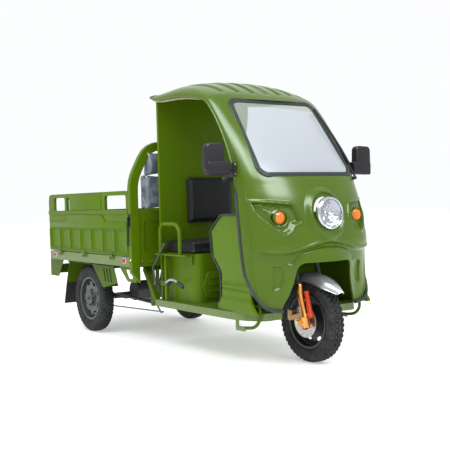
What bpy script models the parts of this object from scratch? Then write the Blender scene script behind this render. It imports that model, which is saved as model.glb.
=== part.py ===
"""Electric cargo tricycle with a roofed driver's cab and a drop-side cargo bed.

Metres, +Z up. The front points along -Y, so the vehicle's right side is -X. The origin lies on
the floor, under the middle of the overall length. Every sub-part is its own closed solid.
"""
import math

import bmesh
import bpy
import numpy as np
from mathutils import Matrix, Vector

# Running gear
WHEELBASE = 2.076
FRONT_AXLE_Y = -1.228
REAR_AXLE_Y = FRONT_AXLE_Y + WHEELBASE
REAR_TRACK = 0.895
FRONT_TYRE_RADIUS = 0.253
FRONT_TYRE_WIDTH = 0.104
REAR_TYRE_RADIUS = 0.261
REAR_TYRE_WIDTH = 0.103
RIM_RADIUS = 0.160
TYRE_STEPS = 24

# Steering head and fork
RAKE = math.radians(15.2)
HEAD_Y = -1.172
HEAD_Z = 0.518
FORK_SPREAD = 0.088
FORK_LEAD = 0.036
STANCHION_RADIUS = 0.0150
SLIDER_RADIUS = 0.0210
SLIDER_SIDES = 10
BAR_HALF_WIDTH = 0.36
BAR_Z = 1.13

# Cab shell, which runs from the roof's rear lip down to the feet of the front fascia
SHELL_WALL = 0.012
SHELL_ROUNDNESS = 2.3
SHELL_SPLIT_Z = 1.075
GLASS_WALL = 0.006
SEAL_WALL = 0.020
SEAL_WIDTH = 0.026

# Cab floor, seat and rear wall
FLOOR_HALF_WIDTH = 0.45
FLOOR_TOP_Z = 0.33
FLOOR_LOW_Z = 0.285
WALL_Y = -0.1275
WALL_THICK = 0.020
WALL_HALF_WIDTH = 0.40
SEAT_HALF_WIDTH = 0.38
SEAT_REAR_Y = -0.178
SEAT_FRONT_Y = -0.548
SEAT_TOP_Z = 0.655
CUSHION_THICK = 0.085

# Cargo bed
BED_FRONT_Y = 0.030
BED_LENGTH = 1.394
BED_REAR_Y = BED_FRONT_Y + BED_LENGTH
BED_HALF_WIDTH = 0.559
RAIL_LOW_Z = 0.553
RAIL_TOP_Z = 0.622
DECK_THICK = 0.012
SIDE_THICK = 0.030
SIDE_GAP = 0.006
SIDE_BAR_LOW_Z = 0.924
SIDE_BAR_TOP_Z = 0.953
SIDE_TOP_Z = 1.088
LOOP_TUBE = 0.030
RIB_PITCH = 0.205
HINGE_OUT = 0.012
HOOP_HALF_WIDTH = 0.567
HOOP_BAND = 0.063
HOOP_DEPTH = 0.040
HOOP_TOP_Z = 1.430

# Seat between touching pieces
SEAT_GAP = 0.0003


def clear_scene():
    """Removes whatever the open file holds, so the model stands alone."""
    for thing in list(bpy.data.objects):
        bpy.data.objects.remove(thing, do_unlink=True)


def finish(name, colour, roughness, metallic=0.0):
    """One Principled material with a plain colour, roughness and metallic value."""
    look = bpy.data.materials.new(name)
    look.use_nodes = True
    shader = look.node_tree.nodes["Principled BSDF"]
    shader.inputs["Base Color"].default_value = (*colour, 1.0)
    shader.inputs["Roughness"].default_value = roughness
    shader.inputs["Metallic"].default_value = metallic
    return look


def arc(centre, radius, start, end, steps):
    """Points on a circle between two angles in degrees, both ends included."""
    angles = [math.radians(start + (end - start) * i / steps) for i in range(steps + 1)]
    return [(centre[0] + radius * math.cos(a), centre[1] + radius * math.sin(a)) for a in angles]


def rounded(corners, steps=4):
    """Outline through corners of (u, v, radius), each corner turned by a quadratic curve."""
    outline = []
    count = len(corners)
    for i, (u, v, radius) in enumerate(corners):
        here = Vector((u, v))
        if radius <= 0.0:
            outline.append((u, v))
            continue
        before = Vector(corners[i - 1][:2])
        after = Vector(corners[(i + 1) % count][:2])
        start = here + (before - here).normalized() * radius
        end = here + (after - here).normalized() * radius
        for k in range(steps + 1):
            t = k / steps
            point = start * (1 - t) ** 2 + here * (2 * t * (1 - t)) + end * t ** 2
            outline.append((point.x, point.y))
    return outline


def close_mesh(shape):
    """Merges doubled points, turns all faces outward and returns the shape."""
    bmesh.ops.remove_doubles(shape, verts=shape.verts, dist=0.00001)
    bmesh.ops.recalc_face_normals(shape, faces=shape.faces)
    return shape


AXIS_PLACE = {
    "X": lambda u, v, w: (w, u, v),
    "Y": lambda u, v, w: (u, w, v),
    "Z": lambda u, v, w: (u, v, w),
}


def prism(outline, axis, low, high):
    """Extrudes an outline along an axis. Its points are (y, z), (x, z) or (x, y)."""
    shape = bmesh.new()
    place = AXIS_PLACE[axis]
    ends = [[shape.verts.new(place(u, v, w)) for u, v in outline] for w in (low, high)]
    shape.faces.new(ends[0])
    shape.faces.new(reversed(ends[1]))
    count = len(outline)
    for i in range(count):
        k = (i + 1) % count
        shape.faces.new((ends[0][i], ends[0][k], ends[1][k], ends[1][i]))
    return close_mesh(shape)


def block(x_range, y_range, z_range):
    """A square-edged bar or plate between two corners."""
    (x0, x1), (z0, z1) = x_range, z_range
    return prism([(x0, z0), (x1, z0), (x1, z1), (x0, z1)], "Y", *y_range)


def loft(rings, closed=False):
    """Skins rings of equal counts of points; open lofts get a face over each end."""
    shape = bmesh.new()
    loops = [[shape.verts.new(point) for point in ring] for ring in rings]
    count = len(rings[0])
    pairs = list(zip(loops, loops[1:]))
    if closed:
        pairs.append((loops[-1], loops[0]))
    else:
        shape.faces.new(loops[0])
        shape.faces.new(reversed(loops[-1]))
    for a, b in pairs:
        for i in range(count):
            k = (i + 1) % count
            shape.faces.new((a[i], a[k], b[k], b[i]))
    return close_mesh(shape)


def sweep(path, section, closed=False, up=(0.0, 0.0, 1.0)):
    """Carries a section of (side, up) points along a path, mitred at its bends."""
    points = [Vector(point) for point in path]
    count = len(points)
    rings = []
    for i, here in enumerate(points):
        before = points[i - 1] if i or closed else None
        after = points[(i + 1) % count] if i < count - 1 or closed else None
        into = (here - before).normalized() if before else (after - here).normalized()
        out = (after - here).normalized() if after else into
        along = (into + out).normalized()
        side = into.cross(Vector(up))
        if side.length < 0.05:
            side = into.cross(Vector((0.0, 1.0, 0.0)))
        side.normalize()
        rise = side.cross(into).normalized()
        ring = []
        for u, v in section:
            offset = side * u + rise * v
            offset -= into * (offset.dot(along) / into.dot(along))
            ring.append(here + offset)
        rings.append(ring)
    return loft(rings, closed)


def circle(radius, sides=8):
    """A round section for a tube or a rod."""
    return [(radius * math.cos(a), radius * math.sin(a))
            for a in (2 * math.pi * (i + 0.5) / sides for i in range(sides))]


def tube(path, radius, sides=8, up=(0.0, 0.0, 1.0)):
    """A round bar along a path."""
    return sweep(path, circle(radius, sides), up=up)


def flat(width, height):
    """A square section for a flat bar or a box tube."""
    u, v = width / 2, height / 2
    return [(-u, -v), (u, -v), (u, v), (-u, v)]


def turned(profile, centre, axis="X", steps=32):
    """Turns a closed profile of (radius, along) points about an axis through the centre."""
    rings = []
    for i in range(steps):
        a = 2 * math.pi * (i + 0.5) / steps
        ring = []
        for radius, along in profile:
            u, v = radius * math.cos(a), radius * math.sin(a)
            ring.append(Vector(centre) + Vector(AXIS_PLACE[axis](u, v, along)))
        rings.append(ring)
    return loft(rings, closed=True)


def disc(radius, centre, axis, low, high, steps=16):
    """A solid round plate or pin about an axis, from low to high along it."""
    place = AXIS_PLACE[axis]
    ring = [(radius * math.cos(a), radius * math.sin(a))
            for a in (2 * math.pi * (i + 0.5) / steps for i in range(steps))]
    middle = Vector(centre)
    return loft([[middle + Vector(place(u, v, w)) for u, v in ring] for w in (low, high)])


def moved(shape, matrix):
    """Turns or shifts a shape and keeps its faces pointing out."""
    bmesh.ops.transform(shape, matrix=matrix, verts=shape.verts)
    return close_mesh(shape)


def mirrored(shape):
    """The same shape on the other side of the vehicle's middle plane."""
    return moved(shape, Matrix.Scale(-1.0, 4, (1.0, 0.0, 0.0)))


def sheet_normals(grid, level_row=None):
    """Unit normals of a grid of points. A level row's normals are turned flat, for a level edge."""
    along = np.gradient(grid, axis=0)
    across = np.gradient(grid, axis=1)
    normal = np.cross(along, across)
    if level_row is not None:
        normal[level_row, :, 2] = 0.0
    return normal / np.linalg.norm(normal, axis=2, keepdims=True)


def bent_wall(grid, thickness, level_row=None):
    """A sheet with real thickness: an outer grid of points and its offset inner one."""
    grid = np.asarray(grid, dtype=float)
    inner = grid - sheet_normals(grid, level_row) * thickness
    rows, columns = grid.shape[:2]
    shape = bmesh.new()
    faces = [[[shape.verts.new(sheet[i, j]) for j in range(columns)] for i in range(rows)]
             for sheet in (grid, inner)]
    for sheet in faces:
        for i in range(rows - 1):
            for j in range(columns - 1):
                shape.faces.new((sheet[i][j], sheet[i][j + 1], sheet[i + 1][j + 1], sheet[i + 1][j]))
    top, low = faces
    rim = [(0, j) for j in range(columns - 1)] + [(i, columns - 1) for i in range(rows - 1)]
    rim += [(rows - 1, j) for j in range(columns - 1, 0, -1)] + [(i, 0) for i in range(rows - 1, 0, -1)]
    for (i, j), (m, n) in zip(rim, rim[1:] + rim[:1]):
        shape.faces.new((top[i][j], top[m][n], low[m][n], low[i][j]))
    return close_mesh(shape)


def as_object(name, shape, look=None):
    """Puts a shape into a mesh object of the scene."""
    mesh = bpy.data.meshes.new(name)
    shape.to_mesh(mesh)
    shape.free()
    thing = bpy.data.objects.new(name, mesh)
    bpy.context.scene.collection.objects.link(thing)
    if look:
        mesh.materials.append(look)
    return thing


def boolean(target, shape, operation, label):
    """Joins or cuts a shape by a Boolean whose second object is a hidden guide."""
    guide = as_object(label, shape)
    guide.hide_render = True
    guide.display_type = "WIRE"
    step = target.modifiers.new(label, "BOOLEAN")
    step.operation = operation
    step.solver = "EXACT"
    step.object = guide
    return guide


def piece(name, look, shape, joins=(), cuts=(), adds=(), trims=(), keep=None, body=None, smooth=35.0):
    """One named sub-part: a first shape with shapes joined, cut, then added and trimmed."""
    thing = as_object(name, shape, look)
    guides = []
    if keep:
        guides.append(boolean(thing, keep, "INTERSECT", name + ".keep"))
    rounds = (("join", "UNION", joins), ("cut", "DIFFERENCE", cuts),
              ("add", "UNION", adds), ("trim", "DIFFERENCE", trims))
    for label, operation, shapes in rounds:
        for i, extra in enumerate(shapes):
            guides.append(boolean(thing, extra, operation, f"{name}.{label}.{i}"))
    thing.data.shade_smooth()
    thing.data.set_sharp_from_angle(angle=math.radians(smooth))
    if body:
        for item in [thing] + guides:
            item.parent = body
            item.matrix_parent_inverse = Matrix.Translation(-body.location)
    return thing


def pivot(name, location, parent=None):
    """An empty on a joint's axis, which carries the pieces that move with it."""
    empty = bpy.data.objects.new(name, None)
    empty.empty_display_size = 0.1
    empty.location = location
    bpy.context.scene.collection.objects.link(empty)
    if parent:
        empty.parent = parent
        empty.matrix_parent_inverse = Matrix.Translation(-parent.location)
    return empty


# Front face of the shell, from the roof split down to the feet
# (height, middle_y, edge_y, half_width)
FRONT_ROWS = [
    (SHELL_SPLIT_Z, -1.318, -1.102, 0.455),
    (1.010, -1.346, -1.116, 0.459),
    (0.930, -1.372, -1.129, 0.463),
    (0.830, -1.400, -1.148, 0.467),
    (0.735, -1.4175, -1.161, 0.470),
    (0.650, -1.385, -1.172, 0.468),
    (0.560, -1.360, -1.188, 0.465),
    (0.420, -1.345, -1.228, 0.455),
    (0.345, -1.325, -1.275, 0.440),
]
FASCIA_ROW_STEPS = 2
FASCIA_COLUMNS = 24
SHELL_COLUMNS = 18

# Roof and windscreen frame, from the rear lip forward and down to the split
# (middle_y, middle_z, edge_y, edge_z, half_width)
ROOF_ROWS = [
    (-0.085, 1.752, -0.085, 1.722, 0.425),
    (-0.200, 1.785, -0.200, 1.694, 0.434),
    (-0.400, 1.800, -0.400, 1.686, 0.440),
    (-0.600, 1.778, -0.568, 1.672, 0.440),
    (-0.770, 1.718, -0.718, 1.646, 0.440),
    (-0.890, 1.640, -0.800, 1.612, 0.440),
    (-1.030, 1.480, -0.908, 1.490, 0.442),
    (-1.165, 1.310, -1.008, 1.330, 0.446),
    (-1.280, 1.150, -1.078, 1.167, 0.451),
    (-1.318, SHELL_SPLIT_Z, -1.102, SHELL_SPLIT_Z, 0.455),
]
ROOF_ROW_STEPS = 2

# Relief of the fascia: the wavy crease, the brow over the wheel and the sunken lamp eyes
CREASE_Z = 0.722
CREASE_WAVE = 0.030
CREASE_HALF_SPAN = 0.325
CREASE_STEP = 0.020
BROW_HALF_WIDTH = 0.235
BROW_LOW_Z = 0.622
BROW_TOP_Z = 0.712
BROW_OUT = 0.050
ARCH_HALF_WIDTH = 0.228
EYE_DEPTH = 0.018
LAMP_Z = 0.907
LAMP_RADIUS = 0.100
LAMP_COWL_RADIUS = 0.135
SIGNAL_X = 0.306
SIGNAL_Z = 0.891
SIGNAL_RADIUS = 0.046
LAMP_STEPS = 24
SIGNAL_STEPS = 16
RECESS_X = 0.305
RECESS_Z = 0.560

# Windscreen outline, in the plane that leans back over the dash
SCREEN_LOW = (1.132, 0.372)
SCREEN_TOP = (1.632, 0.342)
SCREEN_CORNER = 0.055


def smooth_rows(rows, steps):
    """Catmull-Rom rows through the rows of a table, with a number of steps between each two."""
    table = np.asarray(rows, dtype=float)
    padded = np.vstack([2 * table[0] - table[1], table, 2 * table[-1] - table[-2]])
    result = []
    for i in range(len(table) - 1):
        p0, p1, p2, p3 = padded[i:i + 4]
        for k in range(steps):
            t = k / steps
            result.append(0.5 * (2 * p1 + (p2 - p0) * t + (2 * p0 - 5 * p1 + 4 * p2 - p3) * t ** 2
                                 + (3 * p1 - p0 - 3 * p2 + p3) * t ** 3))
    result.append(table[-1])
    return np.array(result)


FRONT_CURVE = smooth_rows(FRONT_ROWS, FASCIA_ROW_STEPS)
ROOF_CURVE = smooth_rows(ROOF_ROWS, ROOF_ROW_STEPS)


def crown(share):
    """Superellipse fall from 0 at the middle to 1 at the edge, for a share of the half width."""
    share = np.clip(np.abs(share), 0.0, 1.0)
    return 1.0 - (1.0 - share ** SHELL_ROUNDNESS) ** (1.0 / SHELL_ROUNDNESS)


def even_shares(columns):
    """Shares of the half width from -1 to 1, closer together where the shell turns its side."""
    angles = np.linspace(-math.pi / 2, math.pi / 2, columns + 1)
    return np.sign(angles) * np.abs(np.sin(angles)) ** (2.0 / SHELL_ROUNDNESS)


def bell(value, reach):
    """A soft hump, 1 at zero and 0 from the reach outward."""
    share = np.clip(np.abs(value) / reach, 0.0, 1.0)
    return (1.0 - share ** 2) ** 2


def ramp(value, low, high):
    """Smooth step from 0 at low to 1 at high."""
    share = np.clip((value - low) / (high - low), 0.0, 1.0)
    return share * share * (3.0 - 2.0 * share)


def front_plain(x, z):
    """Depth y of the plain front surface at a place across and a height."""
    order = FRONT_CURVE[::-1]
    middle, edge, half = (np.interp(z, order[:, 0], order[:, k]) for k in (1, 2, 3))
    return middle + (edge - middle) * crown(x / half)


def crease_height(x):
    """Height of the crease line, high over the wheel, lowest beside it and high at the sides."""
    wave = np.cos(math.pi * np.clip(np.abs(x) / CREASE_HALF_SPAN, 0.0, 1.45))
    return CREASE_Z + CREASE_WAVE * (wave - 0.2)


def eye_depth(x, z):
    """Sink of the lamp eyes, pointed at the outer end and full round the turn signal."""
    out = np.abs(x)
    along = np.clip((out - 0.245) / 0.185, 0.0, 1.0)
    half = 0.066 * (1.0 - along) ** 0.8 + 0.002
    middle = SIGNAL_Z + 0.004 + 0.022 * along
    inside = ramp(half - np.abs(z - middle), 0.0, 0.010)
    return EYE_DEPTH * inside * ramp(out, 0.242, 0.258) * (1.0 - ramp(out, 0.405, 0.43))


def front_relief(x, z):
    """How far the fascia stands forward of its plain surface."""
    below = ramp(crease_height(x) - z, 0.0, 0.022)
    fade = 1.0 - ramp(np.abs(x), 0.40, 0.46)
    relief = -CREASE_STEP * below * fade
    brow_top = BROW_LOW_Z + (BROW_TOP_Z - BROW_LOW_Z) * np.sqrt(
        np.clip(1.0 - (x / BROW_HALF_WIDTH) ** 2, 0.0, 1.0))
    rise = np.clip((brow_top - z) / (brow_top - BROW_LOW_Z + 0.004), 0.0, 1.0)
    relief = relief + BROW_OUT * np.sqrt(rise) * bell(x, BROW_HALF_WIDTH * 1.15)
    cowl = np.hypot(x, (z - LAMP_Z) * 0.92)
    relief = relief + 0.022 * (1.0 - ramp(cowl, LAMP_RADIUS, LAMP_COWL_RADIUS + 0.02))
    dish = bell(np.abs(x) - RECESS_X, 0.045) * bell(z - RECESS_Z, 0.075)
    relief = relief - 0.010 * ramp(dish, 0.05, 0.5)
    return relief - eye_depth(x, z)


def front_surface(x, z):
    """Depth y of the finished fascia surface."""
    return front_plain(x, z) - front_relief(x, z)


def fascia_grid():
    """Outer points of the fascia, rows downward and columns from right to left."""
    shares = even_shares(FASCIA_COLUMNS)
    rows = []
    for height, middle, edge, half in FRONT_CURVE:
        x = shares * half
        z = np.full_like(x, min(height, SHELL_SPLIT_Z - SEAT_GAP))
        rows.append(np.stack([x, front_surface(x, z), z], axis=1))
    return np.array(rows)


def roof_grid():
    """Outer points of the roof and screen frame, rows from the rear lip forward and down."""
    shares = even_shares(SHELL_COLUMNS)
    fall = crown(shares)
    rows = []
    for middle_y, middle_z, edge_y, edge_z, half in ROOF_CURVE:
        y = middle_y + (edge_y - middle_y) * fall
        z = middle_z + (edge_z - middle_z) * fall
        rows.append(np.stack([shares * half, y, z], axis=1))
    return np.array(rows)


def roof_height(x, y):
    """Height of the roof's outer surface over a place behind the windscreen."""
    order = ROOF_CURVE[:6 * ROOF_ROW_STEPS][::-1]
    middle = np.interp(y, order[:, 0], order[:, 1])
    edge = np.interp(y, order[:, 2], order[:, 3])
    half = np.interp(y, order[:, 2], order[:, 4])
    return middle + (edge - middle) * crown(x / half)


def screen_outline(inset):
    """Windscreen outline from the front, pulled in by an inset on every side."""
    (low_z, low_x), (top_z, top_x) = SCREEN_LOW, SCREEN_TOP
    low_x, top_x = low_x - inset, top_x - inset
    radius = SCREEN_CORNER - inset * 0.5
    return rounded([(-low_x, low_z + inset, radius), (low_x, low_z + inset, radius),
                    (top_x, top_z - inset, radius), (-top_x, top_z - inset, radius)], 4)


def screen_prism(inset):
    """Cutter through the front of the cab with the windscreen's outline."""
    return prism(screen_outline(inset), "Y", -1.60, -0.60)


def shell_layer(outward, thickness):
    """The roof and screen surface moved out of its own face, as a sheet of a thickness."""
    grid = roof_grid()[2 * ROOF_ROW_STEPS:]
    return bent_wall(grid + sheet_normals(grid) * outward, thickness)


def add_cab_roof(paint):
    """Roof, side pillars and screen frame in one moulding, with the screen cut out."""
    return piece("cab_roof", paint, bent_wall(roof_grid(), SHELL_WALL, -1),
                 cuts=[screen_prism(0.0)])


def add_windscreen(glass, rubber):
    """Curved pane on the shell's own surface and the rubber seal between it and the frame."""
    inset = SEAL_WIDTH + SEAT_GAP
    sink = (SHELL_WALL - GLASS_WALL) / 2
    piece("windscreen", glass, shell_layer(-sink, GLASS_WALL), keep=screen_prism(inset))
    stand = (SEAL_WALL - SHELL_WALL) / 2
    piece("windscreen_seal", rubber, shell_layer(stand, SEAL_WALL), keep=screen_prism(SEAT_GAP),
          cuts=[screen_prism(SEAL_WIDTH)])


def add_front_fascia(paint):
    """Moulded front with the wheel arch, the headlamp hole and the two signal holes."""
    foot = FRONT_ROWS[-1][0] - 0.02
    arch = rounded([(-ARCH_HALF_WIDTH, foot, 0), (ARCH_HALF_WIDTH, foot, 0),
                    (ARCH_HALF_WIDTH - 0.015, BROW_LOW_Z, 0.05),
                    (-ARCH_HALF_WIDTH + 0.015, BROW_LOW_Z, 0.05)], 4)
    cuts = [prism(arch, "Y", -1.60, -1.00),
            disc(LAMP_RADIUS, (0.0, 0.0, LAMP_Z), "Y", -1.55, -1.20, LAMP_STEPS)]
    cuts += [disc(SIGNAL_RADIUS, (side * SIGNAL_X, 0.0, SIGNAL_Z), "Y", -1.50, -1.20, SIGNAL_STEPS)
             for side in (-1, 1)]
    return piece("front_fascia", paint, bent_wall(fascia_grid(), SHELL_WALL, 0), cuts=cuts)


# Cab fittings
FAIRING_PROFILE = [
    (-1.190, 0.9130, 0.0), (-0.880, 0.9130, 0.02), (-0.740, 0.8100, 0.02), (-0.760, 0.6550, 0.03),
    (-0.862, 0.5600, 0.02), (-0.858, 0.3850, 0.01), (-0.820, 0.3640, 0.01),
    (-0.820, FLOOR_TOP_Z + SEAT_GAP, 0.0), (-1.190, FLOOR_TOP_Z + SEAT_GAP, 0.0),
]
FAIRING_REAR_HALF = 0.395
FAIRING_FRONT_HALF = 0.438
FAIRING_WALL = 0.008
WELL_HALF_WIDTH = 0.235
WELL_REAR_Y = -0.925
FLOOR_REAR_Y = -0.110
FLOOR_FRONT_Y = -1.236
STEP_FOOT_Y = -1.0775
RAIL_TUBE = 0.014
RAIL_ARCH_TOP_Z = 0.852
RAIL_X = 0.432
MIRROR_Y = -1.078
MIRROR_LOW_Z = 1.154
MIRROR_TOP_Z = 1.339
MIRROR_INNER_X = 0.475
MIRROR_OUTER_X = 0.662


def column_point(side_x, lead, rise):
    """Place beside the steering axis: across, ahead of the axis, and up along it."""
    return Vector((side_x, HEAD_Y - lead * math.cos(RAKE) + rise * math.sin(RAKE),
                   HEAD_Z + lead * math.sin(RAKE) + rise * math.cos(RAKE)))


def lean(side_x, lead, rise):
    """Matrix that stands a shape built about +Z at the origin along the steering axis."""
    return Matrix.Translation(column_point(side_x, lead, rise)) @ Matrix.Rotation(-RAKE, 4, "X")


def neck_hole(clearance):
    """Square hole round the neck post, with a clearance on each side."""
    half = 0.020 + clearance
    return block((-half, half), (NECK_Y - half, NECK_Y + half), (0.25, 0.36))


def add_cab_floor(paint):
    """Foot pan with folded sides, open round the front wheel, with the two flat step brackets."""
    plan = rounded([(-FLOOR_HALF_WIDTH, FLOOR_REAR_Y, 0.02), (-FLOOR_HALF_WIDTH, -1.10, 0.10),
                    (-0.36, FLOOR_FRONT_Y, 0.03), (0.36, FLOOR_FRONT_Y, 0.03),
                    (FLOOR_HALF_WIDTH, -1.10, 0.10), (FLOOR_HALF_WIDTH, FLOOR_REAR_Y, 0.02)], 3)
    wall = 0.006
    inner = [(x * (1 - wall / FLOOR_HALF_WIDTH), y + wall if y < -0.6 else y + 0.03)
             for x, y in plan]
    well = rounded([(-WELL_HALF_WIDTH, -1.40, 0), (WELL_HALF_WIDTH, -1.40, 0),
                    (WELL_HALF_WIDTH, WELL_REAR_Y, 0.08), (-WELL_HALF_WIDTH, WELL_REAR_Y, 0.08)], 3)
    hollow = prism(inner, "Z", FLOOR_LOW_Z - 0.01, FLOOR_TOP_Z - wall)
    steps = []
    for side in (-1, 1):
        path = [(side * 0.415, STEP_FOOT_Y + 0.05, FLOOR_TOP_Z - wall / 2),
                (side * 0.415, STEP_FOOT_Y + 0.05, 0.232), (side * 0.415, STEP_FOOT_Y - 0.03, 0.232)]
        steps.append(sweep(path, flat(0.028, 0.006), up=(side, 0.0, 0.0)))
    return piece("cab_floor", paint, prism(plan, "Z", FLOOR_LOW_Z, FLOOR_TOP_Z),
                 cuts=[hollow, prism(well, "Z", FLOOR_LOW_Z - 0.01, FLOOR_TOP_Z + 0.01),
                       neck_hole(0.0003)], adds=steps)


def add_inner_fairing(paint):
    """Leg shield behind the front wheel: an open-fronted moulding with a shelf on top."""
    outer = rounded(FAIRING_PROFILE, 2)
    inner = [(max(y - FAIRING_WALL, -1.20) if y > -1.18 else -1.25, z) for y, z in outer]
    low, top = FAIRING_PROFILE[-1][1], FAIRING_PROFILE[0][1]
    inner = [(y, min(max(z, low + FAIRING_WALL), top - FAIRING_WALL)) for y, z in inner]

    def widen(shape, shave):
        reach = FAIRING_PROFILE[0][0] - FAIRING_PROFILE[2][0]
        for vert in shape.verts:
            share = (vert.co.y - FAIRING_PROFILE[2][0]) / reach
            half = FAIRING_REAR_HALF + (FAIRING_FRONT_HALF - FAIRING_REAR_HALF) * share - shave
            vert.co.x = math.copysign(half, vert.co.x)
        return shape

    shell = widen(prism(outer, "X", -1.0, 1.0), 0.0)
    hollow = widen(prism(inner, "X", -1.0, 1.0), FAIRING_WALL)
    column = moved(disc(0.062, (0, 0, 0), "Z", -0.1, 0.1, 16), lean(0.0, 0.0, 0.41))
    well = block((-WELL_HALF_WIDTH, WELL_HALF_WIDTH), (-1.30, WELL_REAR_Y),
                 (low - 0.01, low + FAIRING_WALL + 0.01))
    return piece("inner_fairing", paint, shell, cuts=[hollow, column, well, neck_hole(0.010)])


def add_rear_wall(paint):
    """Pressed wall behind the seat, its sides bent back and its top following the roof."""
    bend_x = 0.36
    foot = FLOOR_TOP_Z + SEAT_GAP
    rear = WALL_Y + WALL_THICK / 2
    across = np.linspace(WALL_HALF_WIDTH, -WALL_HALF_WIDTH, 13)
    top = list(zip(across, roof_height(across, rear + 0.02)))
    outline = [(-WALL_HALF_WIDTH, foot), (WALL_HALF_WIDTH, foot)] + top
    above = 0.02
    roof = roof_grid()
    ceiling = bent_wall(roof + sheet_normals(roof) * above, above + SHELL_WALL + 2 * SEAT_GAP)
    wall = prism(outline, "Y", WALL_Y - WALL_THICK / 2, rear)
    sheet = 0.004
    hollow = prism([(-bend_x, foot + 0.03), (bend_x, foot + 0.03), (bend_x, 1.66),
                    (-bend_x, 1.66)], "Y", WALL_Y - WALL_THICK / 2 + sheet, rear + 0.01)
    return piece("cab_rear_wall", paint, wall, cuts=[hollow, ceiling])


def add_seat_box(paint):
    """Battery and seat box with round front corners and a D-shaped sunken panel."""
    foot = FLOOR_TOP_Z + SEAT_GAP
    half, front, rear = SEAT_HALF_WIDTH, SEAT_FRONT_Y, SEAT_REAR_Y
    plan = rounded([(-half, rear, 0), (-half, front, 0.07), (half, front, 0.07), (half, rear, 0)], 5)
    wall = 0.010
    inner = rounded([(-half + wall, rear - wall, 0), (-half + wall, front + wall, 0.06),
                     (half - wall, front + wall, 0.06), (half - wall, rear - wall, 0)], 5)
    panel = rounded([(-0.20, foot + 0.07, 0.07), (0.20, foot + 0.07, 0.07),
                     (0.20, SEAT_TOP_Z - 0.06, 0.02), (-0.20, SEAT_TOP_Z - 0.06, 0.02)], 3)
    return piece("seat_box", paint, prism(plan, "Z", foot, SEAT_TOP_Z),
                 cuts=[prism(inner, "Z", foot - 0.01, SEAT_TOP_Z - wall),
                       prism(panel, "Y", front - 0.02, front + 0.004)])


def add_battery(casing):
    """The heavy battery pack inside the seat box, as one plain block."""
    foot = FLOOR_TOP_Z + SEAT_GAP
    return piece("battery_pack", casing, block((-0.33, 0.33), (-0.46, -0.20), (foot, foot + 0.20)))


def add_cushions(vinyl):
    """Plain solids of the driver's seat and its back pad."""
    low = SEAT_TOP_Z + SEAT_GAP
    seat = rounded([(-0.40, SEAT_REAR_Y + 0.02, 0.03), (-0.40, SEAT_FRONT_Y + 0.02, 0.06),
                    (0.40, SEAT_FRONT_Y + 0.02, 0.06), (0.40, SEAT_REAR_Y + 0.02, 0.03)], 3)
    piece("seat_cushion", vinyl, prism(seat, "Z", low, low + CUSHION_THICK))
    front = WALL_Y - WALL_THICK / 2 - SEAT_GAP
    pad = rounded([(-0.20, 0.84, 0.015), (0.20, 0.84, 0.015), (0.20, 1.18, 0.015),
                   (-0.20, 1.18, 0.015)], 2)
    piece("backrest_pad", vinyl, prism(pad, "Y", front - 0.050, front))


def add_grab_rails(paint):
    """A base plate and a bent tube at each end of the seat."""
    for name, side in (("right", -1), ("left", 1)):
        x = side * RAIL_X
        rear, front = -0.178, -0.430
        arch = [(rear, SEAT_TOP_Z - 0.010)]
        arch += [(y, z) for y, z in arc((rear - 0.05, RAIL_ARCH_TOP_Z - 0.05), 0.05, 0, 90, 4)]
        arch += [(y, z) for y, z in arc((front + 0.07, RAIL_ARCH_TOP_Z - 0.07), 0.07, 90, 180, 4)]
        arch += [(front, SEAT_TOP_Z - 0.010)]
        bow = tube([(x, y, z) for y, z in arch], RAIL_TUBE, 8, up=(1.0, 0.0, 0.0))
        inner_x = SEAT_HALF_WIDTH + SEAT_GAP
        plate_rear = WALL_Y - WALL_THICK / 2 - SEAT_GAP
        plate = block(sorted((side * inner_x, side * 0.455)), (SEAT_FRONT_Y + 0.02, plate_rear),
                      (SEAT_TOP_Z - 0.014, SEAT_TOP_Z - 0.006 + 0.002))
        hanger = block(sorted((side * inner_x, side * (inner_x + 0.006))), (-0.50, -0.20),
                       (SEAT_TOP_Z - 0.07, SEAT_TOP_Z - 0.010))
        post = block(sorted((side * 0.408, side * 0.432)), (-0.240, -0.216),
                     (FLOOR_TOP_Z + SEAT_GAP, SEAT_TOP_Z - 0.010))
        ear = block(sorted((side * 0.428, side * 0.436)), (-0.230, -0.138), (0.432, 0.462))
        piece(f"grab_rail_{name}", paint, plate, joins=[bow, hanger, post, ear])


def add_lamps(chrome, amber):
    """Round headlamp and two turn signals, each seated in its hole in the fascia."""
    front = float(front_surface(0.0, LAMP_Z))
    radius = LAMP_RADIUS - SEAT_GAP
    profile = [(0.0005, 0.060), (0.052, 0.052), (0.088, 0.034), (radius, 0.026),
               (radius, -0.012), (radius - 0.012, -0.020), (0.060, -0.029), (0.0005, -0.0349)]
    piece("headlamp", chrome, turned(profile, (0.0, front, LAMP_Z), "Y", LAMP_STEPS))
    for name, side in (("right", -1), ("left", 1)):
        x = side * SIGNAL_X
        seat = float(front_surface(x, SIGNAL_Z))
        small = SIGNAL_RADIUS - SEAT_GAP
        dome = [(0.0005, 0.030), (small - 0.006, 0.030), (small, 0.018), (small, -0.004),
                (small * 0.80, -0.013), (small * 0.4, -0.018), (0.0005, -0.019)]
        piece(f"turn_signal_{name}", amber, turned(dome, (x, seat, SIGNAL_Z), "Y", SIGNAL_STEPS),
              smooth=60.0)


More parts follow.
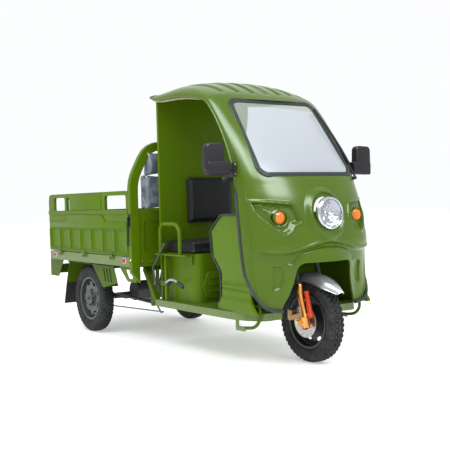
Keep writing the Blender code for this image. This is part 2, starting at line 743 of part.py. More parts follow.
def add_mirrors(plastic):
    """Door mirrors: clamp on the pillar, short arm, boxy lower body and upper head."""
    for name, side in (("right", -1), ("left", 1)):
        edge_y = float(np.interp(1.18, ROOF_CURVE[::-1, 3], ROOF_CURVE[::-1, 2]))
        head = rounded([(MIRROR_INNER_X, MIRROR_LOW_Z, 0.02), (MIRROR_OUTER_X, MIRROR_LOW_Z + 0.01, 0.03),
                        (MIRROR_OUTER_X - 0.004, MIRROR_TOP_Z - 0.01, 0.035),
                        (MIRROR_INNER_X + 0.02, MIRROR_TOP_Z, 0.03)], 3)
        front, rear = MIRROR_Y - 0.035, MIRROR_Y + 0.025
        shape = prism(head, "Y", front, rear)
        glass_seat = prism([(MIRROR_INNER_X + 0.02 + (x - MIRROR_INNER_X) * 0.86,
                             MIRROR_LOW_Z + 0.016 + (z - MIRROR_LOW_Z) * 0.84) for x, z in head],
                           "Y", rear - 0.006, rear + 0.01)
        arm = tube([(0.448 + 0.010, edge_y - 0.02, 1.18), (0.50, MIRROR_Y, 1.185)], 0.011, 8)
        pillar_x = float(np.interp(1.142, ROOF_CURVE[::-1, 3], ROOF_CURVE[::-1, 4])) + SEAT_GAP
        clamp = block((pillar_x, 0.470), (edge_y - 0.042, edge_y + 0.004), (1.142, 1.222))
        shapes = [shape, glass_seat, arm, clamp]
        if side < 0:
            shapes = [mirrored(item) for item in shapes]
        shape, glass_seat, arm, clamp = shapes
        piece(f"mirror_{name}", plastic, shape, joins=[arm, clamp], cuts=[glass_seat])


def add_wiper(plastic):
    """Parked wiper: a spindle at the screen's lower corner, an arm and a blade along its edge."""
    z_low, z_high = 1.118, 1.57
    points = []
    for share in np.linspace(0.0, 1.0, 6):
        z = z_low + (z_high - z_low) * share
        x = 0.385 - 0.075 * share
        points.append((x, z))
    rows = ROOF_CURVE[::-1]

    def surface(x, z):
        middle = np.interp(z, rows[:, 1], rows[:, 0])
        edge = np.interp(z, rows[:, 3], rows[:, 2])
        half = np.interp(z, rows[:, 1], rows[:, 4])
        return float(middle + (edge - middle) * crown(x / half))

    def lifted(x, z, height):
        near = 0.002
        slope_x = (surface(x + near, z) - surface(x - near, z)) / (2 * near)
        slope_z = (surface(x, z + near) - surface(x, z - near)) / (2 * near)
        return Vector((x, surface(x, z), z)) + Vector((slope_x, -1.0, slope_z)).normalized() * height

    path = [lifted(x, z, 0.020) for x, z in points]
    blade = sweep(path[1:], flat(0.010, 0.014), up=(0.0, -1.0, 0.0))
    arm = sweep([path[0], path[3]], flat(0.012, 0.006), up=(0.0, -1.0, 0.0))
    foot_x, foot_z = points[0]
    spindle = tube([lifted(foot_x, foot_z, SEAT_GAP), lifted(foot_x, foot_z, 0.026)], 0.012, 10)
    return piece("wiper", plastic, arm, joins=[blade, spindle])


# Bed details
POST_FRONT_Y = BED_FRONT_Y - 0.0423
POST_FOOT_Z = 0.440
HINGE_Z = RAIL_TOP_Z + 0.0007
HINGE_PLACES_Y = (1.1985, 0.7565, 0.3045)
TAIL_HINGE_PLACES_X = (-0.36, 0.36)
KNUCKLE_RADIUS = 0.0085
KNUCKLE_BORE = 0.0048
PIN_RADIUS = 0.0040
KNUCKLE_HALF = 0.016
EAR_HALF = 0.012
KNUCKLE_PLAY = 0.0012
FIELD_LOW_Z = 0.650
FIELD_TOP_Z = 0.812
FIELD_DEPTH = 0.010
FIELD_SLOPE = 0.012
SIDE_FRONT_Y = BED_FRONT_Y + 0.010
SIDE_PLATE = 0.022
TAIL_HALF_WIDTH = 0.522
SLOT_RANGES_Y = ((1.3175, 1.105), (1.070, 1.0145), (0.3965, 0.0700))
GUARD_PATH = ((1.226, 0.362), (1.158, 0.5365), (0.720, 0.5365), (0.5505, 0.371))
GUARD_INNER_X = 0.385
GUARD_OUTER_X = 0.510
GUARD_SHEET = 0.004
BEAM_REAR_Y = 1.4885
BUFFER_REAR_Y = 1.5025


def field_cutter(low_u, high_u, low_v, high_v, face, inward, axis):
    """Pocket with sloping sides: a pressed field sunk into a panel from its face."""
    place = AXIS_PLACE[axis]
    rings = []
    for depth, grow in ((-0.002, FIELD_SLOPE * 0.2), (0.0, 0.0), (FIELD_DEPTH, -FIELD_SLOPE)):
        outline = rounded([(low_u - grow, low_v - grow, 0.012), (high_u + grow, low_v - grow, 0.012),
                           (high_u + grow, high_v + grow, 0.012), (low_u - grow, high_v + grow, 0.012)], 2)
        rings.append([place(u, v, face + inward * depth) for u, v in outline])
    return loft(rings)


def field_row(start, end, pitch, gap):
    """Evenly pitched fields between two ends, with a rib of a gap's width between them."""
    count = max(1, round((end - start) / pitch))
    step = (end - start) / count
    return [(start + i * step + gap / 2, start + (i + 1) * step - gap / 2) for i in range(count)]


def knuckle(centre, axis, side_leaf):
    """Turning half of a hinge: a bored barrel with its leaf."""
    ring = [(KNUCKLE_BORE, -KNUCKLE_HALF), (KNUCKLE_RADIUS, -KNUCKLE_HALF),
            (KNUCKLE_RADIUS, KNUCKLE_HALF), (KNUCKLE_BORE, KNUCKLE_HALF)]
    return [turned(ring, centre, axis, HINGE_STEPS), side_leaf]


def fixed_ears(centre, axis):
    """Standing half of a hinge: two ears and the pin between them."""
    c = Vector(centre)
    direction = {"X": Vector((1, 0, 0)), "Y": Vector((0, 1, 0))}[axis]
    reach = KNUCKLE_HALF + KNUCKLE_PLAY + EAR_HALF
    pin_end = reach - EAR_HALF * 0.25
    pin = tube([c - direction * pin_end, c + direction * pin_end], PIN_RADIUS, HINGE_STEPS)
    ears = []
    for end in (-1, 1):
        middle = c + direction * end * (reach - EAR_HALF / 2)
        ears.append(disc(KNUCKLE_RADIUS, middle, axis, -EAR_HALF / 2, EAR_HALF / 2, HINGE_STEPS))
    return [pin] + ears


def add_bed_floor(paint):
    """Deck plate, channel side rails, sills, cross members and the fixed hinge ears."""
    front = BED_FRONT_Y - 0.0020
    half, wall, flange = BED_HALF_WIDTH, 0.005, 0.040
    channel = [(half, RAIL_LOW_Z), (half, RAIL_TOP_Z), (half - flange, RAIL_TOP_Z),
               (half - flange, RAIL_TOP_Z - wall), (half - wall, RAIL_TOP_Z - wall),
               (half - wall, RAIL_LOW_Z + wall), (half - flange, RAIL_LOW_Z + wall),
               (half - flange, RAIL_LOW_Z)]
    rail = prism(channel, "Y", front, BED_REAR_Y)
    parts = [mirrored(prism(channel, "Y", front, BED_REAR_Y))]
    deck_low = RAIL_TOP_Z - wall - DECK_THICK
    parts.append(block((-half + 0.002, half - 0.002), (front + 0.002, BED_REAR_Y - 0.002),
                       (deck_low, deck_low + DECK_THICK)))
    for middle in np.linspace(front + 0.02, BED_REAR_Y - 0.02, 6):
        parts.append(block((-half + 0.003, half - 0.003), (middle - 0.019, middle + 0.019),
                           (RAIL_LOW_Z + 0.001, deck_low + 0.002)))
    for y in HINGE_PLACES_Y:
        for side in (-1, 1):
            centre = (side * (half + HINGE_OUT), y, HINGE_Z)
            parts += fixed_ears(centre, "Y")
            for end in (-1, 1):
                middle = y + end * (KNUCKLE_HALF + KNUCKLE_PLAY + EAR_HALF / 2)
                leaf_x = sorted((side * (half - 0.001), side * (half + HINGE_OUT - 0.002)))
                parts.append(block(leaf_x, (middle - EAR_HALF / 2 + 0.001, middle + EAR_HALF / 2 - 0.001),
                                   (HINGE_Z - 0.026, HINGE_Z - 0.0035)))
    for x in TAIL_HINGE_PLACES_X:
        parts += fixed_ears((x, BED_REAR_Y + HINGE_OUT, HINGE_Z), "X")
        for end in (-1, 1):
            middle = x + end * (KNUCKLE_HALF + KNUCKLE_PLAY + EAR_HALF / 2)
            parts.append(block((middle - EAR_HALF / 2 + 0.001, middle + EAR_HALF / 2 - 0.001),
                               (BED_REAR_Y - 0.012, BED_REAR_Y + HINGE_OUT - 0.002),
                               (HINGE_Z - 0.026, HINGE_Z - 0.0035)))
    return piece("bed_floor", paint, rail, joins=parts)


def add_bed_hoop(paint):
    """Hoop behind the cab: two posts that bend in to a flat top, with gussets at their feet."""
    rear = BED_FRONT_Y - 0.0023
    band = HOOP_BAND
    outer = rounded([(-HOOP_HALF_WIDTH, POST_FOOT_Z, 0), (-HOOP_HALF_WIDTH, 1.165, 0.08),
                     (-0.425, HOOP_TOP_Z, 0.12), (0.425, HOOP_TOP_Z, 0.12),
                     (HOOP_HALF_WIDTH, 1.165, 0.08), (HOOP_HALF_WIDTH, POST_FOOT_Z, 0)], 4)
    inner_half = HOOP_HALF_WIDTH - band
    inner = rounded([(-inner_half, POST_FOOT_Z - 0.01, 0), (-inner_half, 1.150, 0.07),
                     (-0.392, HOOP_TOP_Z - band, 0.08), (0.392, HOOP_TOP_Z - band, 0.08),
                     (inner_half, 1.150, 0.07), (inner_half, POST_FOOT_Z - 0.01, 0)], 4)
    cuts = [prism(inner, "Y", POST_FRONT_Y - 0.01, rear + 0.01)]
    gussets = []
    for side in (-1, 1):
        cut = [(side * (inner_half - 0.01), POST_FOOT_Z - 0.01), (side * (HOOP_HALF_WIDTH + 0.01), POST_FOOT_Z - 0.01),
               (side * (HOOP_HALF_WIDTH + 0.01), POST_FOOT_Z + 0.085)]
        cuts.append(prism(cut, "Y", POST_FRONT_Y - 0.01, rear + 0.01))
        outline = [(rear - 0.006, RAIL_LOW_Z - SEAT_GAP), (rear + 0.243, RAIL_LOW_Z - SEAT_GAP),
                   (rear + 0.233, RAIL_LOW_Z - 0.018), (rear + 0.135, POST_FOOT_Z + 0.012),
                   (rear + 0.115, POST_FOOT_Z), (rear - 0.006, POST_FOOT_Z)]
        gussets.append(prism(outline, "X", *sorted((side * 0.514, side * 0.520))))
    windows = []
    for side in (-1, 1):
        hole = rounded([(rear + 0.045, POST_FOOT_Z + 0.022, 0.008), (rear + 0.105, POST_FOOT_Z + 0.022, 0.008),
                        (rear + 0.150, RAIL_LOW_Z - 0.028, 0.008), (rear + 0.045, RAIL_LOW_Z - 0.028, 0.008)], 2)
        windows.append(prism(hole, "X", *sorted((side * 0.505, side * 0.530))))
    return piece("bed_hoop", paint, prism(outer, "Y", POST_FRONT_Y, rear), cuts=cuts, adds=gussets,
                 trims=windows)


def add_front_panel(paint):
    """Pressed front wall of the bed, between the posts of the hoop."""
    half = HOOP_HALF_WIDTH - HOOP_BAND - SEAT_GAP
    front, rear = POST_FRONT_Y + 0.010, BED_FRONT_Y - 0.0080
    wall = block((-half, half), (front, rear), (RAIL_LOW_Z, SIDE_BAR_TOP_Z - 0.004))
    cuts = [field_cutter(low, high, FIELD_LOW_Z, SIDE_BAR_LOW_Z - 0.05, front, 1, "Y")
            for low, high in field_row(-half + 0.02, half - 0.02, 0.19, 0.05)]
    return piece("bed_front_panel", paint, wall, cuts=cuts)


def add_hoop_pads(vinyl):
    """Two back pads held inside the hoop, the upper one narrower at its top."""
    half = HOOP_HALF_WIDTH - HOOP_BAND - 0.038
    y_range = (POST_FRONT_Y - 0.012, BED_FRONT_Y + 0.030)
    low_z = SIDE_BAR_TOP_Z - 0.004 + SEAT_GAP
    middle_z = 1.185
    piece("hoop_pad_lower", vinyl, block((-half, half), y_range, (low_z, middle_z)))
    low_z, low_half, top_z, top_half = middle_z + SEAT_GAP, half - 0.016, 1.345, 0.365
    outline = rounded([(-low_half, low_z, 0.03), (low_half, low_z, 0.03), (top_half, top_z, 0.04),
                       (-top_half, top_z, 0.04)], 2)
    piece("hoop_pad_upper", vinyl, prism(outline, "Y", *y_range))


def add_side_panel(name, side, paint, body):
    """Drop side: pressed fields below a bar, and a rounded loop with hand slots above it."""
    outer = side * BED_HALF_WIDTH
    inner = side * (BED_HALF_WIDTH - SIDE_PLATE)
    low = RAIL_TOP_Z + SIDE_GAP
    outline = rounded([(SIDE_FRONT_Y, low, 0), (BED_REAR_Y, low, 0),
                       (BED_REAR_Y, SIDE_TOP_Z, 0.055), (SIDE_FRONT_Y, SIDE_TOP_Z, 0.055)], 4)
    plate = prism(outline, "X", *sorted((outer, inner)))
    cuts = []
    for high_y, low_y in SLOT_RANGES_Y:
        slot = rounded([(low_y, SIDE_BAR_TOP_Z, 0.012), (high_y, SIDE_BAR_TOP_Z, 0.012),
                        (high_y, SIDE_TOP_Z - LOOP_TUBE, 0.02), (low_y, SIDE_TOP_Z - LOOP_TUBE, 0.02)], 2)
        cuts.append(prism(slot, "X", *sorted((outer + side * 0.01, inner - side * 0.01))))
    for low_y, high_y in field_row(SIDE_FRONT_Y + 0.030, BED_REAR_Y - 0.020, RIB_PITCH, 0.045):
        cuts.append(field_cutter(low_y, high_y, FIELD_LOW_Z, FIELD_TOP_Z, outer, -side, "X"))
    bar = block(sorted((outer + side * 0.006, inner - side * 0.002)),
                (SIDE_FRONT_Y + 0.002, BED_REAR_Y - 0.002), (SIDE_BAR_LOW_Z, SIDE_BAR_TOP_Z))
    joins = [bar]
    for y in HINGE_PLACES_Y:
        centre = (side * (BED_HALF_WIDTH + HINGE_OUT), y, HINGE_Z)
        leaf = block(sorted((outer - side * 0.001, outer + side * (HINGE_OUT - 0.003))),
                     (y - KNUCKLE_HALF + 0.002, y + KNUCKLE_HALF - 0.002),
                     (HINGE_Z + 0.0060, HINGE_Z + 0.024))
        joins += knuckle(centre, "Y", leaf)
    return piece(name, paint, plate, cuts=cuts, adds=joins, body=body)


def add_tailgate(paint, body):
    """Drop tailgate between the side panels, with pressed fields and its two hinge barrels."""
    low = RAIL_TOP_Z + SIDE_GAP
    outer, inner = BED_REAR_Y, BED_REAR_Y - SIDE_PLATE
    outline = rounded([(-TAIL_HALF_WIDTH, low, 0), (TAIL_HALF_WIDTH, low, 0),
                       (TAIL_HALF_WIDTH, SIDE_BAR_TOP_Z, 0.02), (-TAIL_HALF_WIDTH, SIDE_BAR_TOP_Z, 0.02)], 2)
    cuts = [field_cutter(a, b, FIELD_LOW_Z, FIELD_TOP_Z + 0.05, outer, -1, "Y")
            for a, b in field_row(-TAIL_HALF_WIDTH + 0.02, TAIL_HALF_WIDTH - 0.02, RIB_PITCH, 0.045)]
    bar = block((-TAIL_HALF_WIDTH + 0.002, TAIL_HALF_WIDTH - 0.002), (inner + 0.001, outer + 0.006),
                (SIDE_BAR_LOW_Z, SIDE_BAR_TOP_Z - 0.002))
    joins = [bar]
    for x in TAIL_HINGE_PLACES_X:
        leaf = block((x - KNUCKLE_HALF + 0.002, x + KNUCKLE_HALF - 0.002),
                     (outer - 0.001, outer + HINGE_OUT - 0.003), (HINGE_Z + 0.0060, HINGE_Z + 0.024))
        joins += knuckle((x, outer + HINGE_OUT, HINGE_Z), "X", leaf)
    return piece("tailgate", paint, prism(outline, "Y", inner, outer), cuts=cuts, adds=joins, body=body)


def add_mudguards(paint, rubber):
    """Bent sheet over each rear wheel with a slotted apron, and a rubber flap behind it."""
    for name, side in (("right", -1), ("left", 1)):
        middle_x = side * (GUARD_INNER_X + GUARD_OUTER_X) / 2
        width = GUARD_OUTER_X - GUARD_INNER_X
        sheet = sweep([(middle_x, y, z) for y, z in GUARD_PATH], flat(width, GUARD_SHEET))
        apron_outline = [(0.735, 0.5380), (0.560, 0.371), (0.545, 0.371), (0.3215, 0.417), (0.3765, 0.5380)]
        apron = prism(apron_outline, "X",
                      *sorted((side * (GUARD_OUTER_X - 0.001), side * (GUARD_OUTER_X + 0.003))))
        hanger = block(sorted((side * (GUARD_INNER_X + 0.01), side * (GUARD_OUTER_X - 0.01))),
                       (0.80, 0.90), (0.537, RAIL_LOW_Z + 0.001 - SEAT_GAP))
        slots = []
        for i in range(3):
            y = 0.405 + 0.048 * i
            slot = rounded([(y, 0.415 + 0.002 * i, 0.005), (y + 0.018, 0.415 + 0.002 * i, 0.005),
                            (y + 0.045, 0.515, 0.005), (y + 0.027, 0.515, 0.005)], 2)
            slots.append(prism(slot, "X", *sorted((side * 0.49, side * 0.53))))
        piece(f"mudguard_{name}", paint, sheet, adds=[apron, hanger], trims=slots)
        (y, z), out = GUARD_PATH[0], 0.0525
        flap = [(y - 0.003, z - 0.0012), (y + 0.0025, z - 0.0007), (y + out + 0.005, 0.186), (y + out, 0.185)]
        piece(f"mud_flap_{name}", rubber,
              prism(flap, "X", *sorted((side * GUARD_INNER_X, side * GUARD_OUTER_X))))


def add_rear_beam(paint, red):
    """Cross beam with its two side plates and rubber buffers, and the tail lamps set in it."""
    plate_x = TAIL_HALF_WIDTH + 0.0065
    parts = []
    for side in (-1, 1):
        outline = [(1.2225, RAIL_LOW_Z - SEAT_GAP), (BEAM_REAR_Y, RAIL_LOW_Z - SEAT_GAP),
                   (BEAM_REAR_Y, 0.410), (1.330, 0.410)]
        parts.append(prism(outline, "X", *sorted((side * plate_x, side * (plate_x + 0.004)))))
        buffer_x = side * 0.505
        parts.append(turned([(0.0005, BUFFER_REAR_Y), (0.008, BUFFER_REAR_Y - 0.002),
                             (0.012, BEAM_REAR_Y + 0.004), (0.012, BEAM_REAR_Y - 0.004),
                             (0.0005, BEAM_REAR_Y - 0.004)], (buffer_x, 0.0, 0.448), "Y", 10))
    beam = block((-plate_x - 0.001, plate_x + 0.001), (BEAM_REAR_Y - 0.034, BEAM_REAR_Y), (0.425, 0.500))
    pockets = [block((side * 0.41 - 0.06, side * 0.41 + 0.06), (BEAM_REAR_Y - 0.012, BEAM_REAR_Y + 0.02),
                     (0.433, 0.492)) for side in (-1, 1)]
    piece("rear_beam", paint, beam, cuts=pockets, adds=parts)
    for name, side in (("right", -1), ("left", 1)):
        lens = rounded([(side * 0.41 - 0.0597, 0.4333, 0.01), (side * 0.41 + 0.0597, 0.4333, 0.01),
                        (side * 0.41 + 0.0597, 0.4917, 0.01), (side * 0.41 - 0.0597, 0.4917, 0.01)], 3)
        piece(f"tail_lamp_{name}", red, prism(lens, "Y", BEAM_REAR_Y - 0.0117, BEAM_REAR_Y + 0.008))


def add_latches(paint):
    """Toggle latch on each hoop post, its handle hanging down beside the drop side."""
    for name, side in (("right", -1), ("left", 1)):
        face = side * (HOOP_HALF_WIDTH + SEAT_GAP)
        base = block(sorted((face, face + side * 0.004)), (POST_FRONT_Y + 0.006, BED_FRONT_Y - 0.008),
                     (0.835, 0.925))
        handle = tube([(face + side * 0.009, BED_FRONT_Y - 0.016, 0.905),
                       (face + side * 0.010, BED_FRONT_Y - 0.012, 0.800),
                       (face + side * 0.012, BED_FRONT_Y - 0.010, 0.700)], 0.0065, 8, up=(1, 0, 0))
        piece(f"latch_{name}", paint, base, joins=[handle])


# Wheels and drive
BEAD_HALF = 0.036
FLANGE_HALF = 0.040
FLANGE_RADIUS = 0.168
AXLE_RADIUS = 0.0098
HUB_BORE = 0.0106
AXLE_TUBE_RADIUS = 0.024
AXLE_TUBE_SIDES = 12
FRONT_HUB_OUT = 0.059
WINDOW_COUNT = 8
HINGE_STEPS = 8
DISC_RADIUS = 0.100
DISC_X = -0.052
SPRING_X = 0.360
SPRING_FRONT_Y = 0.040
SPRING_REAR_Y = 1.345
SPRING_EYE_Z = 0.280
SPRING_EYE_HALF = 0.0235
CROSS_TUBES_Y = (0.062, 0.640, SPRING_REAR_Y)
FRAME_RAIL_X = 0.250
FRAME_RAIL_WIDTH = 0.040
FRAME_RAIL_HEIGHT = 0.039
NECK_Y = -0.900


def add_tyre(name, look, centre, radius, width, body):
    """Ring tyre with its bead on the rim; the middles of its facets lie on the tyre's radius."""
    half = width / 2
    radius /= math.cos(math.pi / TYRE_STEPS)
    side = [(RIM_RADIUS - 0.002, BEAD_HALF), (FLANGE_RADIUS + 0.003, BEAD_HALF),
            (FLANGE_RADIUS + 0.014, half - 0.006), (radius - 0.040, half),
            (radius - 0.014, half - 0.007), (radius - 0.003, half - 0.020)]
    profile = side + [(radius, 0.0)] + [(r, -u) for r, u in reversed(side)]
    return piece(name, look, turned(profile, centre, "X", TYRE_STEPS), body=body)


def add_rim(name, look, centre, side, hub, body):
    """Steel wheel: barrel with flanges, dished disc with windows, and a bored hub."""
    barrel = RIM_RADIUS - 0.0065
    hub_radius, hub_out, hub_in = hub
    front = [(hub_radius, hub_out), (hub_radius + 0.003, 0.014), (0.105, 0.024), (barrel, 0.006)]
    back = [(barrel, -0.002), (0.105, 0.018), (hub_radius + 0.006, 0.008), (hub_radius - 0.004, 0.0),
            (hub_radius - 0.004, hub_in)]
    profile = [(barrel, FLANGE_HALF), (FLANGE_RADIUS, FLANGE_HALF), (FLANGE_RADIUS, BEAD_HALF + SEAT_GAP),
               (RIM_RADIUS - 0.0023, BEAD_HALF + SEAT_GAP), (RIM_RADIUS - 0.0023, -BEAD_HALF - SEAT_GAP),
               (FLANGE_RADIUS, -BEAD_HALF - SEAT_GAP), (FLANGE_RADIUS, -FLANGE_HALF), (barrel, -FLANGE_HALF)]
    profile += back + [(HUB_BORE, hub_in), (HUB_BORE, hub_out + 0.004)] + front
    rim = turned([(r, side * u) for r, u in profile], centre, "X", TYRE_STEPS)
    windows = []
    for i in range(WINDOW_COUNT):
        angle = 2 * math.pi * (i + 0.5) / WINDOW_COUNT
        oval = [(0.118 + 0.0130 * math.cos(a), 0.0236 * math.sin(a))
                for a in np.linspace(0.37, 0.37 + 2 * math.pi, 6, endpoint=False)]
        cutter = prism(oval, "X", -0.02, 0.045) if side > 0 else prism(oval, "X", -0.045, 0.02)
        place = Matrix.Translation(Vector(centre)) @ Matrix.Rotation(angle, 4, "X")
        windows.append(moved(cutter, place))
    return piece(name, look, rim, cuts=windows, body=body)


def add_rear_axle(metal):
    """Axle tubes, brake backing plates, differential casing and the drive motor ahead of it."""
    y, z = REAR_AXLE_Y, REAR_TYRE_RADIUS
    half_track = REAR_TRACK / 2
    plate_x = half_track - FLANGE_HALF - 0.0095
    tube_end = plate_x + 0.004
    axle = tube([(-tube_end, y, z), (tube_end, y, z)], AXLE_TUBE_RADIUS, AXLE_TUBE_SIDES)
    joins = [disc(AXLE_RADIUS, (0, y, z), "X", -half_track - 0.062, half_track + 0.062, 12)]
    for side in (-1, 1):
        joins.append(disc(0.078, (side * plate_x, y, z), "X", -0.005, 0.005, 20))
    casing = [(0.0005, -0.095), (0.045, -0.090), (0.085, -0.045), (0.092, 0.0), (0.085, 0.045),
              (0.045, 0.090), (0.0005, 0.095)]
    joins.append(turned(casing, (0.03, y, z + 0.012), "X", 16))
    motor_y = y - 0.165
    joins.append(disc(0.078, (-0.06, motor_y, z + 0.045), "X", -0.12, 0.11, 20))
    joins.append(block((0.0, 0.06), (motor_y - 0.03, y), (z - 0.02, z + 0.075)))
    return piece("rear_axle", metal, axle, joins=joins)


def add_leaf_springs(steel):
    """Two leaf packs seated on the axle, with rolled eyes and a shorter second leaf."""
    seat_z = REAR_TYRE_RADIUS + AXLE_TUBE_RADIUS * math.cos(math.pi / AXLE_TUBE_SIDES) + SEAT_GAP
    leaf = 0.010

    def height(y):
        reach = SPRING_REAR_Y - REAR_AXLE_Y if y > REAR_AXLE_Y else REAR_AXLE_Y - SPRING_FRONT_Y
        share = (y - REAR_AXLE_Y) / reach
        return seat_z + leaf * 1.5 + (SPRING_EYE_Z - seat_z - leaf * 1.5) * share ** 2

    for name, side in (("right", -1), ("left", 1)):
        x = side * SPRING_X
        main = sweep([(x, y, height(y)) for y in np.linspace(SPRING_FRONT_Y, SPRING_REAR_Y, 9)],
                     flat(0.044, leaf))
        second = sweep([(x, y, height(y) - leaf * 0.95) for y in
                        np.linspace(REAR_AXLE_Y - 0.40, REAR_AXLE_Y + 0.30, 7)], flat(0.041, leaf))
        eyes = [disc(0.018, (x, y, SPRING_EYE_Z), "X", -SPRING_EYE_HALF, SPRING_EYE_HALF, 12)
                for y in (SPRING_FRONT_Y, SPRING_REAR_Y)]
        clamp = block((x - 0.026, x + 0.026), (REAR_AXLE_Y - 0.045, REAR_AXLE_Y + 0.045),
                      (seat_z, seat_z + 0.034))
        piece(f"leaf_spring_{name}", steel, main, joins=[second, clamp] + eyes)


def add_chassis(paint):
    """Ladder frame that rises from the cab floor to the bed, with neck, head tube and hangers."""
    low_z = FLOOR_TOP_Z - 0.006 - SEAT_GAP - FRAME_RAIL_HEIGHT / 2
    high_z = RAIL_LOW_Z + 0.001 - SEAT_GAP - FRAME_RAIL_HEIGHT / 2
    section = flat(FRAME_RAIL_WIDTH, FRAME_RAIL_HEIGHT)
    route = [(NECK_Y, low_z), (-0.090, low_z), (0.100, high_z), (1.395, high_z)]
    rails = [sweep([(side * FRAME_RAIL_X, y, z) for y, z in route], section) for side in (-1, 1)]
    joins = [rails[1]]
    slim = flat(0.034, 0.034)
    for y, z, half in ((NECK_Y, low_z, 0.27), (-0.50, low_z, 0.40), (-0.100, low_z - 0.003, 0.440)):
        joins.append(block((-half, half), (y - 0.017, y + 0.017), (z - 0.017, z + 0.017)))
    for y in CROSS_TUBES_Y:
        joins.append(block((-0.430, 0.430), (y - 0.017, y + 0.017), (high_z - 0.0175, high_z + 0.0165)))
    for side in (-1, 1):
        joins.append(sweep([(side * 0.420, -0.100, low_z), (side * 0.420, 0.062, high_z)], slim))
        for y in (SPRING_FRONT_Y, SPRING_REAR_Y):
            for offset in (-SPRING_EYE_HALF - SEAT_GAP, SPRING_EYE_HALF + SEAT_GAP):
                x = side * SPRING_X + offset
                thick = 0.003 if offset > 0 else -0.003
                joins.append(prism([(y - 0.022, high_z), (y + 0.030, high_z), (y + 0.016, SPRING_EYE_Z - 0.016),
                                    (y - 0.016, SPRING_EYE_Z - 0.016)], "X", *sorted((x, x + thick))))
    neck_top = column_point(0.0, 0.0, 0.185)
    joins.append(sweep([neck_top + Vector((0.0, 0.004, 0.0)), (0.0, NECK_Y, 0.660), (0.0, NECK_Y, low_z)],
                       flat(0.040, 0.040), up=(1.0, 0.0, 0.0)))
    joins.append(moved(disc(0.030, (0, 0, 0), "Z", 0.125, 0.240, 16), lean(0.0, 0.0, 0.0)))
    bore = moved(disc(0.0178, (0, 0, 0), "Z", 0.10, 0.26, 16), lean(0.0, 0.0, 0.0))
    return piece("chassis_frame", paint, rails[0], joins=joins, cuts=[bore])


def add_fork(dark, gold, red, bronze, body):
    """Yokes, stem and stanchions, gold sliders with the axle, reservoirs and the caliper."""
    outline = rounded([(-0.114, -0.058, 0.02), (0.114, -0.058, 0.02), (0.114, -0.014, 0.02),
                       (0.032, 0.028, 0.015), (-0.032, 0.028, 0.015), (-0.114, -0.014, 0.02)], 2)
    stand = lean(0.0, 0.0, 0.0)
    lower = moved(prism(outline, "Z", 0.086, 0.114), stand)
    upper = moved(prism(outline, "Z", 0.252, 0.272), stand)
    stem = tube([column_point(0, 0, 0.10), column_point(0, 0, 0.598)], 0.0165, 12, up=(1, 0, 0))
    slider_top = -0.045
    joins = [upper, stem]
    for side in (-1, 1):
        x = side * FORK_SPREAD
        joins.append(tube([column_point(x, FORK_LEAD, slider_top + SEAT_GAP),
                           column_point(x, FORK_LEAD, 0.275)], STANCHION_RADIUS, 10, up=(1, 0, 0)))
    piece("fork_yokes", dark, lower, joins=joins, body=body)

    y, z = FRONT_AXLE_Y, FRONT_TYRE_RADIUS
    legs = []
    for side in (-1, 1):
        x = side * FORK_SPREAD
        legs.append(tube([column_point(x, FORK_LEAD, -0.314), column_point(x, FORK_LEAD, slider_top)],
                         SLIDER_RADIUS, SLIDER_SIDES, up=(1, 0, 0)))
        lug = rounded([(y - 0.060, z - 0.018, 0), (y + 0.004, z - 0.019, 0.008), (y + 0.018, z, 0.010),
                       (y + 0.004, z + 0.019, 0.008), (y - 0.050, z + 0.030, 0)], 2)
        legs.append(prism(lug, "X", x - 0.009, x + 0.009))
    axle = disc(AXLE_RADIUS, (0, y, z), "X", -FORK_SPREAD - 0.012, FORK_SPREAD + 0.018, 10)
    spacer = disc(0.0130, (0, y, z), "X", FRONT_HUB_OUT + SEAT_GAP, FORK_SPREAD - 0.0105, 10)
    piece("fork_sliders", gold, legs[0], joins=legs[1:2] + [axle, spacer] + legs[2:], body=body)

    for name, side in (("right", -1), ("left", 1)):
        x, lead = side * FORK_SPREAD, FORK_LEAD + 0.055
        can = tube([column_point(x, lead, -0.262), column_point(x, lead, -0.112)], 0.0140, 10, up=(1, 0, 0))
        clamps = []
        for rise in (-0.240, -0.150):
            seat = SLIDER_RADIUS * math.cos(math.pi / SLIDER_SIDES) + SEAT_GAP
            clamp = block((-0.010, 0.010), (-0.055, -seat), (-0.007, 0.007))
            clamps.append(moved(clamp, lean(x, FORK_LEAD, rise)))
        piece(f"fork_reservoir_{name}", red, can, joins=clamps, body=body)

    caliper = block((-0.086, -0.036), (y + 0.083, y + 0.123), (z + 0.002, z + 0.062))
    slot = disc(0.106, (DISC_X, y, z), "X", -0.0055, 0.0055, 24)
    seat = SLIDER_RADIUS * math.cos(math.pi / SLIDER_SIDES) + SEAT_GAP
    bracket = moved(block((-0.096, -0.080), (seat, 0.145), (-0.014, 0.014)), lean(0.0, FORK_LEAD, -0.232))
    piece("brake_caliper", bronze, caliper, cuts=[slot], adds=[bracket], body=body)


